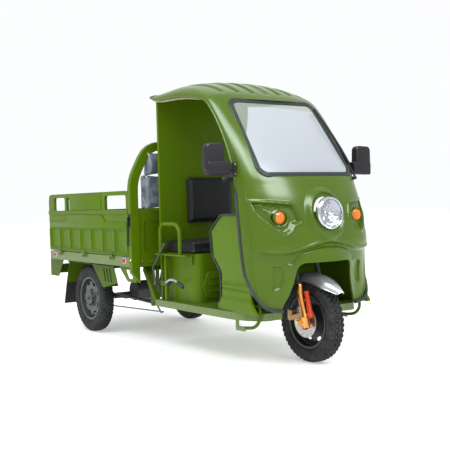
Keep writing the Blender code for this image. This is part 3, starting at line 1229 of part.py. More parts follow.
def add_handlebar(dark, body):
    """Bar bent back to the driver, with grips and the two brake levers."""
    top = column_point(0, 0, 0.622)
    clamp = moved(block((-0.030, 0.030), (-0.020, 0.020), (-0.022, 0.020)), lean(0, 0, 0.6205))
    right = [(0.17, -0.975, 1.150), (0.24, -0.930, 1.148), (BAR_HALF_WIDTH, -0.850, BAR_Z)]
    route = [(-x, y, z) for x, y, z in reversed(right)] + [(-0.05, top.y, top.z), (0.05, top.y, top.z)] + right
    bar = tube(route, 0.011, 8)
    joins = [bar]
    for side in (-1, 1):
        start, end = Vector(right[1]), Vector(right[2])
        inner = start.lerp(end, 0.12)
        grip = [(side * p.x, p.y, p.z) for p in (inner, end + (end - inner).normalized() * 0.004)]
        joins.append(tube(grip, 0.0165, 10))
        lever = [(side * 0.185, -0.985, 1.146), (side * 0.245, -0.985, 1.146), (side * 0.370, -0.885, 1.136)]
        joins.append(sweep(lever, flat(0.009, 0.012)))
        joins.append(block(sorted((side * 0.178, side * 0.205)), (-1.000, -0.950), (1.136, 1.164)))
    return piece("handlebar", dark, clamp, joins=joins, body=body)


def add_front_mudguard(chrome, body):
    """Crowned guard over the front wheel, its front tip flared, with a tab to each fork leg."""
    y, z = FRONT_AXLE_Y, FRONT_TYRE_RADIUS
    half, sheet = 0.064, 0.003
    rows = []
    for share in np.linspace(0.0, 1.0, 13):
        angle = math.radians(145.0 - 125.0 * share)
        flare = 0.0416 * max(0.0, 1.0 - share / 0.45) ** 2
        narrow = 1.0 - 0.35 * max(0.0, 1.0 - share / 0.25) ** 2
        row = []
        for u in np.linspace(-1.0, 1.0, 9):
            radius = 0.2935 + flare - 0.022 * u * u
            row.append((u * half * narrow, y + radius * math.cos(angle), z + radius * math.sin(angle)))
        rows.append(row)
    guard = bent_wall(np.array(rows)[:, ::-1], sheet)
    tabs = []
    for side in (-1, 1):
        seat = FORK_SPREAD - STANCHION_RADIUS - SEAT_GAP
        tab = block(sorted((side * (half - 0.006), side * seat)), (-0.014, 0.014), (-0.013, 0.013))
        tabs.append(moved(tab, lean(0.0, FORK_LEAD, -0.008)))
    return piece("front_mudguard", chrome, guard, joins=tabs, body=body)


def add_levers(chrome, rod):
    """Parking lever, and the brake rod that runs back to the rear wheel."""
    x = -0.4680
    lever = tube([(x, -0.2825, 0.711), (x, -0.1265, 0.554), (x, -0.1545, 0.445)], 0.0075, 8, up=(1, 0, 0))
    knob = turned([(0.0005, -0.015), (0.011, -0.012), (0.015, 0.0), (0.011, 0.012), (0.0005, 0.015)],
                  (x, -0.286, 0.7145), "Y", 10)
    hub = disc(0.016, (x, -0.1545, 0.448), "X", -0.006, 0.0317, 12)
    piece("parking_lever", chrome, lever, joins=[knob, hub])
    rear_x = -0.386
    path = [(-0.430, -0.180, 0.247), (rear_x, 0.560, 0.214), (rear_x, 0.800, 0.203)]
    crank = prism([(-0.108, 0.312), (-0.090, 0.308), (-0.172, 0.238), (-0.186, 0.244)], "X", -0.4433, -0.4403)
    pin = disc(0.006, (-0.434, -0.179, 0.247), "X", -0.010, 0.008, 8)
    piece("brake_rod", rod, tube(path, 0.0045, 6), joins=[crank, pin])


def build_model():
    """Makes every sub-part, each on the body that carries it."""
    paint = finish("green_paint", (0.085, 0.150, 0.012), 0.28)
    glass = finish("glass", (0.66, 0.71, 0.77), 0.08)
    rubber = finish("black_rubber", (0.020, 0.021, 0.022), 0.65)
    tread = finish("tyre", (0.028, 0.029, 0.030), 0.80)
    vinyl = finish("black_vinyl", (0.018, 0.018, 0.020), 0.50)
    grey_vinyl = finish("grey_wrap", (0.18, 0.20, 0.22), 0.30)
    plastic = finish("black_plastic", (0.014, 0.014, 0.016), 0.40)
    chrome = finish("chrome", (0.75, 0.76, 0.78), 0.12, 1.0)
    steel = finish("dark_steel", (0.060, 0.062, 0.066), 0.45, 0.8)
    rim_grey = finish("rim_grey", (0.10, 0.105, 0.11), 0.45, 0.6)
    amber = finish("amber_lens", (0.90, 0.30, 0.02), 0.15)
    red_lens = finish("red_lens", (0.60, 0.02, 0.02), 0.20)
    gold = finish("gold_anodised", (0.80, 0.36, 0.10), 0.30, 0.8)
    red = finish("red_anodised", (0.75, 0.10, 0.03), 0.30, 0.6)
    bronze = finish("bronze", (0.45, 0.28, 0.12), 0.40, 0.8)
    silver = finish("brake_steel", (0.60, 0.58, 0.57), 0.30, 1.0)

    front_hub = Vector((0.0, FRONT_AXLE_Y, FRONT_TYRE_RADIUS))
    steering = pivot("steering_pivot", column_point(0.0, 0.0, 0.0))
    front_wheel = pivot("front_wheel_pivot", front_hub, steering)

    add_chassis(paint)
    add_cab_floor(paint)
    add_inner_fairing(paint)
    add_front_fascia(paint)
    add_cab_roof(paint)
    add_windscreen(glass, rubber)
    add_wiper(plastic)
    add_lamps(chrome, amber)
    add_mirrors(plastic)
    add_rear_wall(paint)
    add_seat_box(paint)
    add_battery(plastic)
    add_cushions(vinyl)
    add_grab_rails(paint)
    add_levers(chrome, steel)

    add_bed_floor(paint)
    add_bed_hoop(paint)
    add_front_panel(paint)
    add_hoop_pads(grey_vinyl)
    add_mudguards(paint, rubber)
    add_rear_beam(paint, red_lens)
    add_latches(plastic)
    for name, side in (("right", -1), ("left", 1)):
        hinge = pivot(f"side_{name}_pivot", (side * (BED_HALF_WIDTH + HINGE_OUT), BED_FRONT_Y, HINGE_Z))
        add_side_panel(f"side_panel_{name}", side, paint, hinge)
    hinge = pivot("tailgate_pivot", (0.0, BED_REAR_Y + HINGE_OUT, HINGE_Z))
    add_tailgate(paint, hinge)

    add_rear_axle(steel)
    add_leaf_springs(steel)
    for name, side in (("right", -1), ("left", 1)):
        centre = Vector((side * REAR_TRACK / 2, REAR_AXLE_Y, REAR_TYRE_RADIUS))
        wheel = pivot(f"rear_wheel_{name}_pivot", centre)
        add_tyre(f"rear_tyre_{name}", tread, centre, REAR_TYRE_RADIUS, REAR_TYRE_WIDTH, wheel)
        add_rim(f"rear_rim_{name}", rim_grey, centre, side, (0.045, 0.040, -0.028), wheel)

    add_fork(steel, gold, red, bronze, steering)
    add_handlebar(plastic, steering)
    add_front_mudguard(chrome, steering)
    add_tyre("front_tyre", tread, front_hub, FRONT_TYRE_RADIUS, FRONT_TYRE_WIDTH, front_wheel)
    add_rim("front_rim", steel, front_hub, 1, (0.040, FRONT_HUB_OUT - 0.004, -0.0497), front_wheel)
    ring = [(HUB_BORE, DISC_X - 0.002), (DISC_RADIUS, DISC_X - 0.002),
            (DISC_RADIUS, DISC_X + 0.002), (HUB_BORE, DISC_X + 0.002)]
    piece("brake_disc", silver, turned(ring, front_hub, "X", 24), body=front_wheel)


clear_scene()
build_model()
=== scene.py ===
"""Dresses the electric cargo tricycle: fine surfaces, finishes, floor, light and camera.

Lengths are metres. +Z is up, the vehicle looks along -Y and its right side is at -X.
"""

import math

import bmesh
import bpy
import numpy as np
from mathutils import Matrix, Vector
from mathutils.bvhtree import BVHTree


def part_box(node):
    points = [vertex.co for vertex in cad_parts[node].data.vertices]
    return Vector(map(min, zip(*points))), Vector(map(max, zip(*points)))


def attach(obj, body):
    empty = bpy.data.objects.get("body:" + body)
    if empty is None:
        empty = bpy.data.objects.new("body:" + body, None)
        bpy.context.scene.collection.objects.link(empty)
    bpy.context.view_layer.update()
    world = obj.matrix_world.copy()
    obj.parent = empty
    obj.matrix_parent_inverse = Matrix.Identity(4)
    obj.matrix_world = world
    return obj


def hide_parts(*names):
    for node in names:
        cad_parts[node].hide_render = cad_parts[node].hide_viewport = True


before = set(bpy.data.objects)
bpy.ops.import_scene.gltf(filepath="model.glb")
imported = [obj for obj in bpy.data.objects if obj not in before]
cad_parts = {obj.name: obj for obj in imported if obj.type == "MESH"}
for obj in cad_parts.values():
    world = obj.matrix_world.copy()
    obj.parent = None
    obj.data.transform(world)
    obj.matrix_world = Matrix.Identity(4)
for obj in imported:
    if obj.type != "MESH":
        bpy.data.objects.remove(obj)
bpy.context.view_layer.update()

RIGHT_LEFT = (("right", -1.0), ("left", 1.0))


# ---- Shader maths and finishes
class Amount:
    """A number that varies over a surface. Python's operators on it add Math nodes."""

    def __init__(self, finish, socket):
        self.finish = finish
        self.socket = socket

    def with_(self, operation, *others):
        """The result of a Math node on this number and others."""
        return self.finish.node("ShaderNodeMath", {"operation": operation}, [self, *others])

    def __add__(self, other):
        return self.with_("ADD", other)

    def __mul__(self, other):
        return self.with_("MULTIPLY", other)

    def __sub__(self, other):
        return self.with_("SUBTRACT", other)

    def __rsub__(self, other):
        return self.finish.node("ShaderNodeMath", {"operation": "SUBTRACT"}, [other, self])

    __radd__ = __add__
    __rmul__ = __mul__

    def step(self, low, high):
        """Smooth step from 0 at low to 1 at high."""
        settings = {"interpolation_type": "SMOOTHSTEP"}
        return self.finish.node("ShaderNodeMapRange", settings, [self, low, high, 0.0, 1.0])


class Finish:
    """One procedural material and the few patterns its makers share."""

    def __init__(self, name, color, roughness, metallic=0.0, **fixed):
        self.material = bpy.data.materials.new(name)
        self.material.use_nodes = True
        self.tree = self.material.node_tree
        self.shader = next(n for n in self.tree.nodes if n.type == "BSDF_PRINCIPLED")
        self.place = self.node("ShaderNodeTexCoord", output="Object")
        self.set("Base Color", (*color, 1.0))
        self.set("Roughness", roughness)
        self.set("Metallic", metallic)
        for key, value in fixed.items():
            self.set(key.replace("_", " "), value)

    def node(self, kind, settings=None, inputs=(), output=0):
        """Adds a node: its settings first, then the values or links of its sockets."""
        made = self.tree.nodes.new(kind)
        for key, value in (settings or {}).items():
            setattr(made, key, value)
        for key, value in inputs.items() if isinstance(inputs, dict) else enumerate(inputs):
            self.feed(made.inputs[key], value)
        socket = made.outputs[output]
        return Amount(self, socket) if socket.type == "VALUE" else socket

    def feed(self, socket, value):
        """Links or sets one socket."""
        if isinstance(value, Amount):
            value = value.socket
        if isinstance(value, bpy.types.NodeSocket):
            self.tree.links.new(value, socket)
        else:
            socket.default_value = value

    def set(self, key, value):
        """Links or sets one input of the shader."""
        self.feed(self.shader.inputs[key], value)

    def spot(self, stretch=(1.0, 1.0, 1.0)):
        """Object place, stretched."""
        return self.node("ShaderNodeMapping", {"vector_type": "POINT"},
                         {"Vector": self.place, "Scale": stretch})

    def noise(self, scale, detail=3.0, rough=0.5, stretch=(1.0, 1.0, 1.0)):
        """Cloudy pattern from 0 to 1."""
        inputs = {"Vector": self.spot(stretch), "Scale": scale, "Detail": detail, "Roughness": rough}
        return self.node("ShaderNodeTexNoise", None, inputs, "Fac")

    def cells(self, scale):
        """Distance to the nearest of many scattered points, as in grained hide."""
        return self.node("ShaderNodeTexVoronoi", None, {"Vector": self.spot(), "Scale": scale}, "Distance")

    def bands(self, axis, scale):
        """Even waves across one axis, from 0 to 1."""
        settings = {"wave_type": "BANDS", "bands_direction": axis}
        return self.node("ShaderNodeTexWave", settings, {"Vector": self.place, "Scale": scale}, "Fac")

    def axis(self, name):
        """One coordinate of the object's place."""
        return self.node("ShaderNodeSeparateXYZ", None, [self.place], name)

    def blend(self, first, second, amount):
        """Colour between two colours."""
        mix = self.tree.nodes.new("ShaderNodeMix")
        mix.data_type = "RGBA"
        self.feed(mix.inputs["Factor"], amount)
        for slot, color in ((6, first), (7, second)):
            self.feed(mix.inputs[slot], color if isinstance(color, bpy.types.NodeSocket) else (*color, 1.0))
        return mix.outputs[2]

    def relief(self, height, strength):
        """Lets a height in metres tilt the shaded surface."""
        inputs = {"Strength": strength, "Distance": 1.0, "Height": height}
        self.set("Normal", self.node("ShaderNodeBump", None, inputs, "Normal"))
        return self


def tinted(shade, gain, lift=0.0):
    """A colour made brighter or darker."""
    return tuple(c * gain + lift for c in shade)


def worn_edge(finish, sharp):
    """1 on outer corners of a surface, from its pointiness, broken up by a noise."""
    corner = finish.node("ShaderNodeNewGeometry", output="Pointiness")
    return corner.step(0.5 + 0.02 * sharp, 0.5 + 0.06 * sharp) * finish.noise(60.0, 4.0).step(0.40, 0.62)


GREEN = (0.076, 0.142, 0.0024)
DEEP_GREEN = (0.046, 0.092, 0.0014)
DUST = (0.30, 0.27, 0.20)


def paint_finish(name, gloss, dusty, coat, painted_light_gain):
    """Olive green enamel: faint cloudiness, orange peel and a little road dust low down. Each copy is made
    lighter or darker as a whole, as painted light and shade.
    """
    # The whole green is scaled by one gain, so the copies are lighter or darker as painted light and shade.
    green, deep = tinted(GREEN, painted_light_gain), tinted(DEEP_GREEN, painted_light_gain)
    paint = Finish(name, green, gloss, Coat_Roughness=0.24, Coat_IOR=1.5, Specular_IOR_Level=0.06)
    cloud = paint.noise(3.0, 3.0)
    color = paint.blend(deep, green, cloud.step(0.20, 0.62) * 0.30 + 0.70)
    low = 1.0 - paint.axis("Z").step(0.20, 0.60)
    dust = low * paint.noise(22.0, 6.0, 0.65, (1.0, 1.0, 0.30)).step(0.50, 0.85) * dusty
    color = paint.blend(color, DUST, dust * 0.45)
    rubbed = paint.noise(7.0, 6.0, 0.7).step(0.60, 0.80) * 0.10
    paint.set("Base Color", paint.blend(color, tinted(green, 1.3, 0.006), rubbed))
    paint.set("Roughness", paint.noise(9.0, 4.0) * 0.08 + dust * 0.5 + (gloss - 0.04))
    paint.set("Coat Weight", coat * (1.0 - dust * 0.8) - rubbed)
    return paint.relief(paint.noise(260.0, 2.0) * 0.00004, 0.3)


def rubber_finish(name, shade, gloss, ribs=0.0):
    """Moulded rubber: dull bloom, fine grain and a little grey dust."""
    rubber = Finish(name, shade, gloss, Specular_IOR_Level=0.22)
    bloom = rubber.noise(22.0, 5.0, 0.6)
    pale = tinted(shade, 1.7, 0.004)
    rubber.set("Base Color", rubber.blend(shade, pale, bloom.step(0.42, 0.80) * 0.6))
    rubber.set("Roughness", bloom * 0.18 + (gloss - 0.09))
    grain = rubber.noise(420.0, 3.0)
    height = grain * 0.00010
    if ribs:
        height = height + rubber.bands("Z", ribs) * 0.0002
    return rubber.relief(height, 0.5)


def tyre_finish():
    """Tyre rubber: brownish dust in the tread, cleaner walls, moulding rings and fine grain."""
    tyre = Finish("tyre_rubber", (0.020, 0.021, 0.021), 0.78, Specular_IOR_Level=0.22)
    cloud = tyre.noise(18.0, 6.0, 0.62)
    color = tyre.blend((0.014, 0.015, 0.015), (0.040, 0.042, 0.040), cloud.step(0.35, 0.78))
    dirt = tyre.noise(55.0, 5.0, 0.7).step(0.52, 0.80)
    worn = worn_edge(tyre, 1.2)
    color = tyre.blend(color, (0.105, 0.098, 0.085), dirt * 0.35)
    tyre.set("Base Color", tyre.blend(color, (0.085, 0.087, 0.086), worn * 0.55))
    tyre.set("Roughness", cloud * 0.16 + 0.66)
    return tyre.relief(tyre.noise(300.0, 4.0) * 0.00022, 0.5)


def hide_finish(name, shade, gloss):
    """Stretched vinyl: pebbled grain, soft creases and a satin sheen."""
    hide = Finish(name, shade, gloss, Coat_Roughness=0.35, Specular_IOR_Level=0.20)
    pebble = hide.cells(430.0)
    crease = hide.noise(26.0, 4.0, 0.6, (1.0, 1.0, 2.0))
    hide.set("Base Color", hide.blend(shade, tinted(shade, 1.9), crease.step(0.4, 0.8) * 0.5))
    hide.set("Roughness", crease * 0.20 + (gloss - 0.10))
    hide.set("Coat Weight", 0.04 + crease * 0.10)
    return hide.relief(pebble * 0.00030 + crease * 0.0006, 0.55)


def wrap_finish():
    """Grey padding under clear film: long wrinkles, with a painted highlight along their ridges."""
    wrap = Finish("grey_wrap", (0.10, 0.125, 0.15), 0.30, Coat_Roughness=0.12)
    fold = wrap.noise(7.0, 3.0, 0.50, (1.6, 1.0, 1.0))
    ridge = 1.0 - (fold - 0.5).with_("ABSOLUTE") * 6.0
    painted_shine = ridge.step(0.45, 1.0)
    # Painted highlight: the base colour turns pale along the wrinkle ridges, where the coat is also heavier.
    wrap.set("Base Color", wrap.blend((0.105, 0.135, 0.165), (0.36, 0.41, 0.46), painted_shine * 0.40))
    wrap.set("Roughness", wrap.noise(40.0, 3.0) * 0.2 + 0.16)
    wrap.set("Coat Weight", 0.55 + painted_shine * 0.3)
    return wrap.relief(ridge.step(0.0, 1.0) * 0.0025 + wrap.noise(60.0, 3.0) * 0.0006, 0.6)


def moulded_finish(name, shade, gloss):
    """Textured plastic moulding with a spark-eroded grain and faint scuffs."""
    plastic = Finish(name, shade, gloss, Specular_IOR_Level=0.25)
    grain = plastic.noise(650.0, 2.0)
    scuff = plastic.noise(11.0, 6.0, 0.7).step(0.58, 0.82)
    plastic.set("Base Color", plastic.blend(shade, tinted(shade, 1.6, 0.004), scuff * 0.5))
    plastic.set("Roughness", plastic.noise(30.0, 4.0) * 0.15 + (gloss - 0.07))
    return plastic.relief(grain * 0.00012, 0.45)


def metal_finish(name, shade, gloss, spread, brush, dust, metallic=1.0):
    """Metal with cloudy roughness, a film of dust and, if asked, fine brushing round an axle."""
    metal = Finish(name, shade, gloss, metallic)
    cloud = metal.noise(24.0, 4.0, 0.6)
    film = metal.noise(70.0, 5.0, 0.7).step(0.55, 0.85) * dust
    metal.set("Base Color", metal.blend(shade, (0.32, 0.29, 0.24), film))
    metal.set("Metallic", metallic - film * metallic * 0.8)
    metal.set("Roughness", cloud * spread + film * 0.4 + (gloss - spread / 2))
    height = metal.noise(180.0, 3.0) * 0.00005
    if brush:
        height = height + metal.noise(brush, 2.0, 0.5, (0.05, 1.0, 1.0)) * 0.00008
    return metal.relief(height, 0.35)


def enamel_finish(name, shade, gloss, dust=0.3):
    """Dull dark enamel on frame parts: dust film and small chips that show grey steel."""
    enamel = Finish(name, shade, gloss)
    film = enamel.noise(45.0, 6.0, 0.7).step(0.45, 0.80) * dust
    chips = enamel.noise(34.0, 6.0, 0.75).step(0.66, 0.76)
    color = enamel.blend(shade, (0.16, 0.15, 0.13), film)
    enamel.set("Base Color", enamel.blend(color, (0.28, 0.28, 0.28), chips * 0.55))
    enamel.set("Roughness", film * 0.5 + (gloss + enamel.noise(20.0, 3.0) * 0.1 - 0.05))
    enamel.set("Metallic", 0.15 + chips * 0.5)
    return enamel.relief(enamel.noise(160.0, 4.0) * 0.00015, 0.4)


def lens_finish(name, shade, ribs, painted_glow):
    """Coloured lens moulded with close vertical flutes, with painted highlights on the flute crests and a
    faint painted glow.
    """
    lens = Finish(name, shade, 0.16, Coat_Weight=0.35, Coat_Roughness=0.05, Specular_IOR_Level=0.15)
    wave = lens.bands("X", ribs)
    bright = tuple(min(1.0, c) for c in tinted(shade, 1.5, 0.04))
    # Painted highlight: the colour is darker in the flute troughs and lighter on the raised crests.
    color = lens.blend(tinted(shade, 0.6), bright, wave)
    lens.set("Base Color", color)
    # Painted glow: the lens gives off a little light of its own colour, though it is not lit.
    lens.set("Emission Color", color)
    lens.set("Emission Strength", painted_glow)
    return lens.relief(wave * 0.0006, 0.6)


def screen_finish():
    """Laminated glass with a painted reflection of a white sky over most of the pane and a clearer green band
    at the top and right, both painted lighter toward the top.
    """
    glass = Finish("window_glass", (0.56, 0.61, 0.67), 0.30, Coat_Weight=0.25, Coat_Roughness=0.05)
    x, z = glass.axis("X"), glass.axis("Z")
    edge = x + 0.231 + (1.565 - z) * 0.58
    # Mask of the painted sky reflection; the pane is also less see-through inside it.
    inside = edge.step(-0.004, 0.006) * (1.588 - z - (x + 0.07).with_("ABSOLUTE") * 0.045).step(0.0, 0.010)
    # Painted light: both colours grow lighter with height, and the pale one is the painted reflection of the
    # sky.
    lean = (z - 1.16) * 2.2
    tint = glass.blend((0.16, 0.25, 0.10), (0.32, 0.38, 0.32), lean.step(0.0, 1.0))
    pale = glass.blend((0.38, 0.41, 0.45), (0.42, 0.45, 0.49), lean.step(0.0, 1.0))
    glass.set("Base Color", glass.blend(tint, pale, inside))
    glass.set("Alpha", inside * 0.42 + 0.55)
    glass.set("Roughness", glass.noise(5.0, 2.0) * 0.06 + 0.28)
    return glass


def deck_finish():
    """Green floor plate with a raised bar pattern of crossed lozenges, dusty between them."""
    deck = Finish("deck_plate", GREEN, 0.34, Coat_Weight=0.25, Coat_Roughness=0.2)
    x, y = deck.axis("X") * 34.0, deck.axis("Y") * 34.0
    column = x.with_("FLOOR")
    shifted = y + (column * 0.5).with_("FRACT")
    u, v = x.with_("FRACT") - 0.5, shifted.with_("FRACT") - 0.5
    odd = ((column + shifted.with_("FLOOR")) * 0.5).with_("FRACT").step(0.2, 0.3) * 2.0 - 1.0
    along, across = u + v * odd, v - u * odd
    bar = 1.0 - ((along * along) * 1.1 + (across * across) * 14.0).step(0.10, 0.32)
    dust = (1.0 - bar) * deck.noise(16.0, 5.0, 0.7).step(0.42, 0.78)
    deck.set("Base Color", deck.blend(GREEN, DUST, dust * 0.30))
    deck.set("Roughness", dust * 0.35 + 0.28)
    return deck.relief(bar * 0.0012, 0.9)


# ---- Surfaces
# For each axis a shape is carried along or turned about: the two places of its outline, then the axis
PLACES = {"X": (1, 2, 0), "Y": (0, 2, 1), "Z": (0, 1, 2)}


def smooth_path(points, steps):
    """Points of a smooth curve through given ones, each span a cubic of its four neighbours."""
    p = np.asarray(points, float)
    p = np.vstack([2 * p[0] - p[1], p, 2 * p[-1] - p[-2]])
    t = (np.arange(steps) / steps)[:, None]
    spans = [0.5 * (2 * b + (c - a) * t + (2 * a - 5 * b + 4 * c - d) * t ** 2
                    + (3 * b - a - 3 * c + d) * t ** 3)
             for a, b, c, d in zip(p[:-3], p[1:-2], p[2:-1], p[3:])]
    return np.vstack(spans + [p[-2:-1]])


def eased(path, times):
    """Smooths a path in place: each inner point moves halfway to the middle of its neighbours."""
    for _ in range(times):
        path[1:-1] = (path[:-2] + 2 * path[1:-1] + path[2:]) / 4


def grid_faces(rows, columns, wrap_rows=False, wrap_columns=False):
    """Corner numbers of the four-sided faces of a grid, closed in either direction if asked."""
    i = np.arange(rows if wrap_rows else rows - 1)[:, None]
    j = np.arange(columns if wrap_columns else columns - 1)[None, :]
    k, m = (i + 1) % rows, (j + 1) % columns
    quads = np.stack(np.broadcast_arrays(i * columns + j, i * columns + m, k * columns + m,
                                         k * columns + j), axis=-1)
    return quads.reshape(-1, 4)


def mesh_piece(name, points, faces, look, sharp, extra=()):
    """A shaded mesh object at the origin from points and faces; extra holds longer faces."""
    mesh = bpy.data.meshes.new(name)
    mesh.from_pydata(np.asarray(points, float).reshape(-1, 3).tolist(), [],
                     np.asarray(faces).tolist() + [list(face) for face in extra])
    mesh.validate()
    mesh.materials.append(look.material)
    mesh.shade_smooth()
    if sharp:
        mesh.set_sharp_from_angle(angle=math.radians(sharp))
    piece = bpy.data.objects.new(name, mesh)
    bpy.context.scene.collection.objects.link(piece)
    return piece


def mounted(piece, body="tricycle", node=None):
    """Lets a piece ride on a body and, where a solid is named, stand in for it."""
    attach(piece, body)
    if node:
        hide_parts(node)
    return piece


def face_out(piece):
    """Merges doubles and turns all faces of a closed shape outward."""
    shape = bmesh.new()
    shape.from_mesh(piece.data)
    bmesh.ops.remove_doubles(shape, verts=shape.verts, dist=1e-6)
    bmesh.ops.recalc_face_normals(shape, faces=shape.faces)
    shape.to_mesh(piece.data)
    shape.free()
    return piece


def turned_piece(name, profile, centre, axis, look, steps, sharp=35.0):
    """Turns (radius, along) points about an axis: place = centre + radius * circle + along * axis."""
    r, w = np.asarray(profile, float).T
    a = 2 * np.pi * np.arange(steps)[:, None] / steps
    first, second, along = PLACES[axis]
    points = np.empty((steps, len(r), 3))
    points[..., first], points[..., second], points[..., along] = r * np.cos(a), r * np.sin(a), w
    faces = grid_faces(steps, len(r), wrap_rows=True)
    return face_out(mesh_piece(name, points + np.asarray(centre), faces, look, sharp))


def frames_along(path, up, closed):
    """Side and rise directions of a path: side is along x up, rise is side x along."""
    if closed:
        along = np.roll(path, -1, axis=0) - np.roll(path, 1, axis=0)
    else:
        along = np.gradient(path, axis=0)
    along /= np.linalg.norm(along, axis=1, keepdims=True)
    side = np.cross(along, np.broadcast_to(np.asarray(up, float), along.shape))
    side /= np.maximum(np.linalg.norm(side, axis=1, keepdims=True), 1e-9)
    return side, np.cross(side, along)


def swept_piece(name, path, section, look, up=(0.0, 0.0, 1.0), closed=False, scale=None, sharp=40.0):
    """Carries a closed section along a path: place = path + u * side + v * rise, capped at its ends."""
    path = np.asarray(path, float)
    side, rise = frames_along(path, up, closed)
    u, v = np.asarray(section, float).T
    size = np.ones(len(path)) if scale is None else np.asarray(scale, float)
    points = (path[:, None] + size[:, None, None] * (u[None, :, None] * side[:, None]
                                                     + v[None, :, None] * rise[:, None]))
    faces = grid_faces(len(path), len(u), wrap_rows=closed, wrap_columns=True)
    last = (len(path) - 1) * len(u)
    caps = [] if closed else [range(len(u)), range(last + len(u) - 1, last - 1, -1)]
    return face_out(mesh_piece(name, points, faces, look, sharp, caps))


def circle_outline(x, z, radius, steps):
    """Circle about a point, as an outline."""
    a = 2 * np.pi * np.arange(steps) / steps
    return np.stack([x + radius * np.cos(a), z + radius * np.sin(a)], axis=1)


def ring_section(radius, sides=12):
    """Round section of a radius."""
    return circle_outline(0.0, 0.0, radius, sides)


def rounded_outline(corners, radius, steps):
    """Closed outline through corners whose turns are arcs of a radius."""
    c = np.asarray(corners, float)
    into, out = np.roll(c, 1, axis=0) - c, np.roll(c, -1, axis=0) - c
    into /= np.linalg.norm(into, axis=1, keepdims=True)
    out /= np.linalg.norm(out, axis=1, keepdims=True)
    half = np.arccos(np.clip((into * out).sum(axis=1), -1, 1)) / 2
    r = np.broadcast_to(np.asarray(radius, float), half.shape)
    middle = into + out
    middle /= np.linalg.norm(middle, axis=1, keepdims=True)
    centre = c + middle * (r / np.sin(half))[:, None]
    start = c + into * (r / np.tan(half))[:, None] - centre
    end = c + out * (r / np.tan(half))[:, None] - centre
    t = np.linspace(0.0, 1.0, steps + 1)[None, :, None]
    arc = start[:, None] * (1 - t) + end[:, None] * t
    arc *= r[:, None, None] / np.maximum(np.linalg.norm(arc, axis=2, keepdims=True), 1e-9)
    return (centre[:, None] + arc).reshape(-1, 2)


def box_piece(name, low, high, look, round_by):
    """Square-edged block between two corners, its edges rounded by a Bevel."""
    low, high = np.asarray(low, float), np.asarray(high, float)
    square = [[0, 0], [1, 0], [1, 1], [0, 1]]
    corners = np.array([[*corner, level] for level in (0, 1) for corner in square])
    faces = [[0, 3, 2, 1], [4, 5, 6, 7], [0, 1, 5, 4], [1, 2, 6, 5], [2, 3, 7, 6], [3, 0, 4, 7]]
    return bevelled(mesh_piece(name, low + corners * (high - low), faces, look, 0), round_by)


def bevelled(piece, width):
    """Rounds a piece's sharp edges and shades it smooth."""
    step = piece.modifiers.new("round", "BEVEL")
    step.width, step.segments = width, 2
    step.limit_method, step.angle_limit = "ANGLE", math.radians(35.0)
    step.harden_normals = False
    piece.data.shade_smooth()
    return piece


def finer(piece):
    """Adds one level of subdivision, in view and render alike."""
    step = piece.modifiers.new("fine", "SUBSURF")
    step.levels = step.render_levels = 1


def plate_piece(name, outline, axis, low, high, look, round_by):
    """Flat plate: an outline of two coordinates carried along an axis, its edges rounded."""
    o = np.asarray(outline, float)
    first, second, along = PLACES[axis]
    points = np.empty((2, len(o), 3))
    points[..., first], points[..., second] = o[:, 0], o[:, 1]
    points[0, :, along], points[1, :, along] = low, high
    faces = grid_faces(2, len(o), wrap_columns=True)
    caps = [range(len(o)), range(2 * len(o) - 1, len(o) - 1, -1)]
    piece = face_out(mesh_piece(name, points, faces, look, 0, caps))
    return bevelled(piece, round_by) if round_by else piece


def cutter(outline, axis, low, high):
    """Throwaway prism that cuts a hole."""
    return plate_piece("cutter", outline, axis, low, high, SCRAP, 0)


def cut_by(piece, sharp, *cutters):
    """Cuts shapes out of a piece, applies the cuts and marks edges sharper than an angle."""
    for tool in cutters:
        step = piece.modifiers.new("cut", "BOOLEAN")
        step.operation, step.solver, step.object = "DIFFERENCE", "EXACT", tool
    cut = bpy.data.meshes.new_from_object(piece.evaluated_get(bpy.context.evaluated_depsgraph_get()))
    piece.modifiers.clear()
    piece.data = cut
    for tool in cutters:
        bpy.data.objects.remove(tool)
    cut.shade_smooth()
    cut.set_sharp_from_angle(angle=math.radians(sharp))


# ---- Front moulding and roof, by the same curves as the solids but finer
SPLIT_Z = 1.075
WALL = 0.012
FULLNESS = 2.3
SEAT_GAP = 0.0003
# Columns: height, middle y, edge y, half width
FRONT_ROWS = [
    (1.075, -1.318, -1.102, 0.455), (1.010, -1.346, -1.116, 0.459), (0.930, -1.372, -1.129, 0.463),
    (0.830, -1.400, -1.148, 0.467), (0.735, -1.4175, -1.161, 0.470), (0.650, -1.385, -1.172, 0.468),
    (0.560, -1.360, -1.188, 0.465), (0.420, -1.345, -1.228, 0.455), (0.345, -1.325, -1.275, 0.440)]
# Columns: middle y, middle z, edge y, edge z, half width
ROOF_ROWS = [
    (-0.085, 1.752, -0.085, 1.722, 0.425), (-0.200, 1.785, -0.200, 1.694, 0.434),
    (-0.400, 1.800, -0.400, 1.686, 0.440), (-0.600, 1.778, -0.568, 1.672, 0.440),
    (-0.770, 1.718, -0.718, 1.646, 0.440), (-0.890, 1.640, -0.800, 1.612, 0.440),
    (-1.030, 1.480, -0.908, 1.490, 0.442), (-1.165, 1.310, -1.008, 1.330, 0.446),
    (-1.280, 1.150, -1.078, 1.167, 0.451), (-1.318, 1.075, -1.102, 1.075, 0.455)]
FRONT_CURVE = smooth_path(FRONT_ROWS, 18)
ROOF_CURVE = smooth_path(ROOF_ROWS, 12)
SCREEN_START = 36  # rows of the roof's curve before it turns down into the screen frame
GROOVE_PITCH, GROOVE_DEPTH = 0.108, 0.011
FRONT_COLUMNS, ROOF_COLUMNS = 210, 150
SCREEN_LOW, SCREEN_TOP, SCREEN_TURN = (0.372, 1.132), (0.342, 1.632), 0.055
LAMP_Z, LAMP_RADIUS = 0.907, 0.100
SIGNAL_X, SIGNAL_Z, SIGNAL_RADIUS = 0.306, 0.891, 0.046
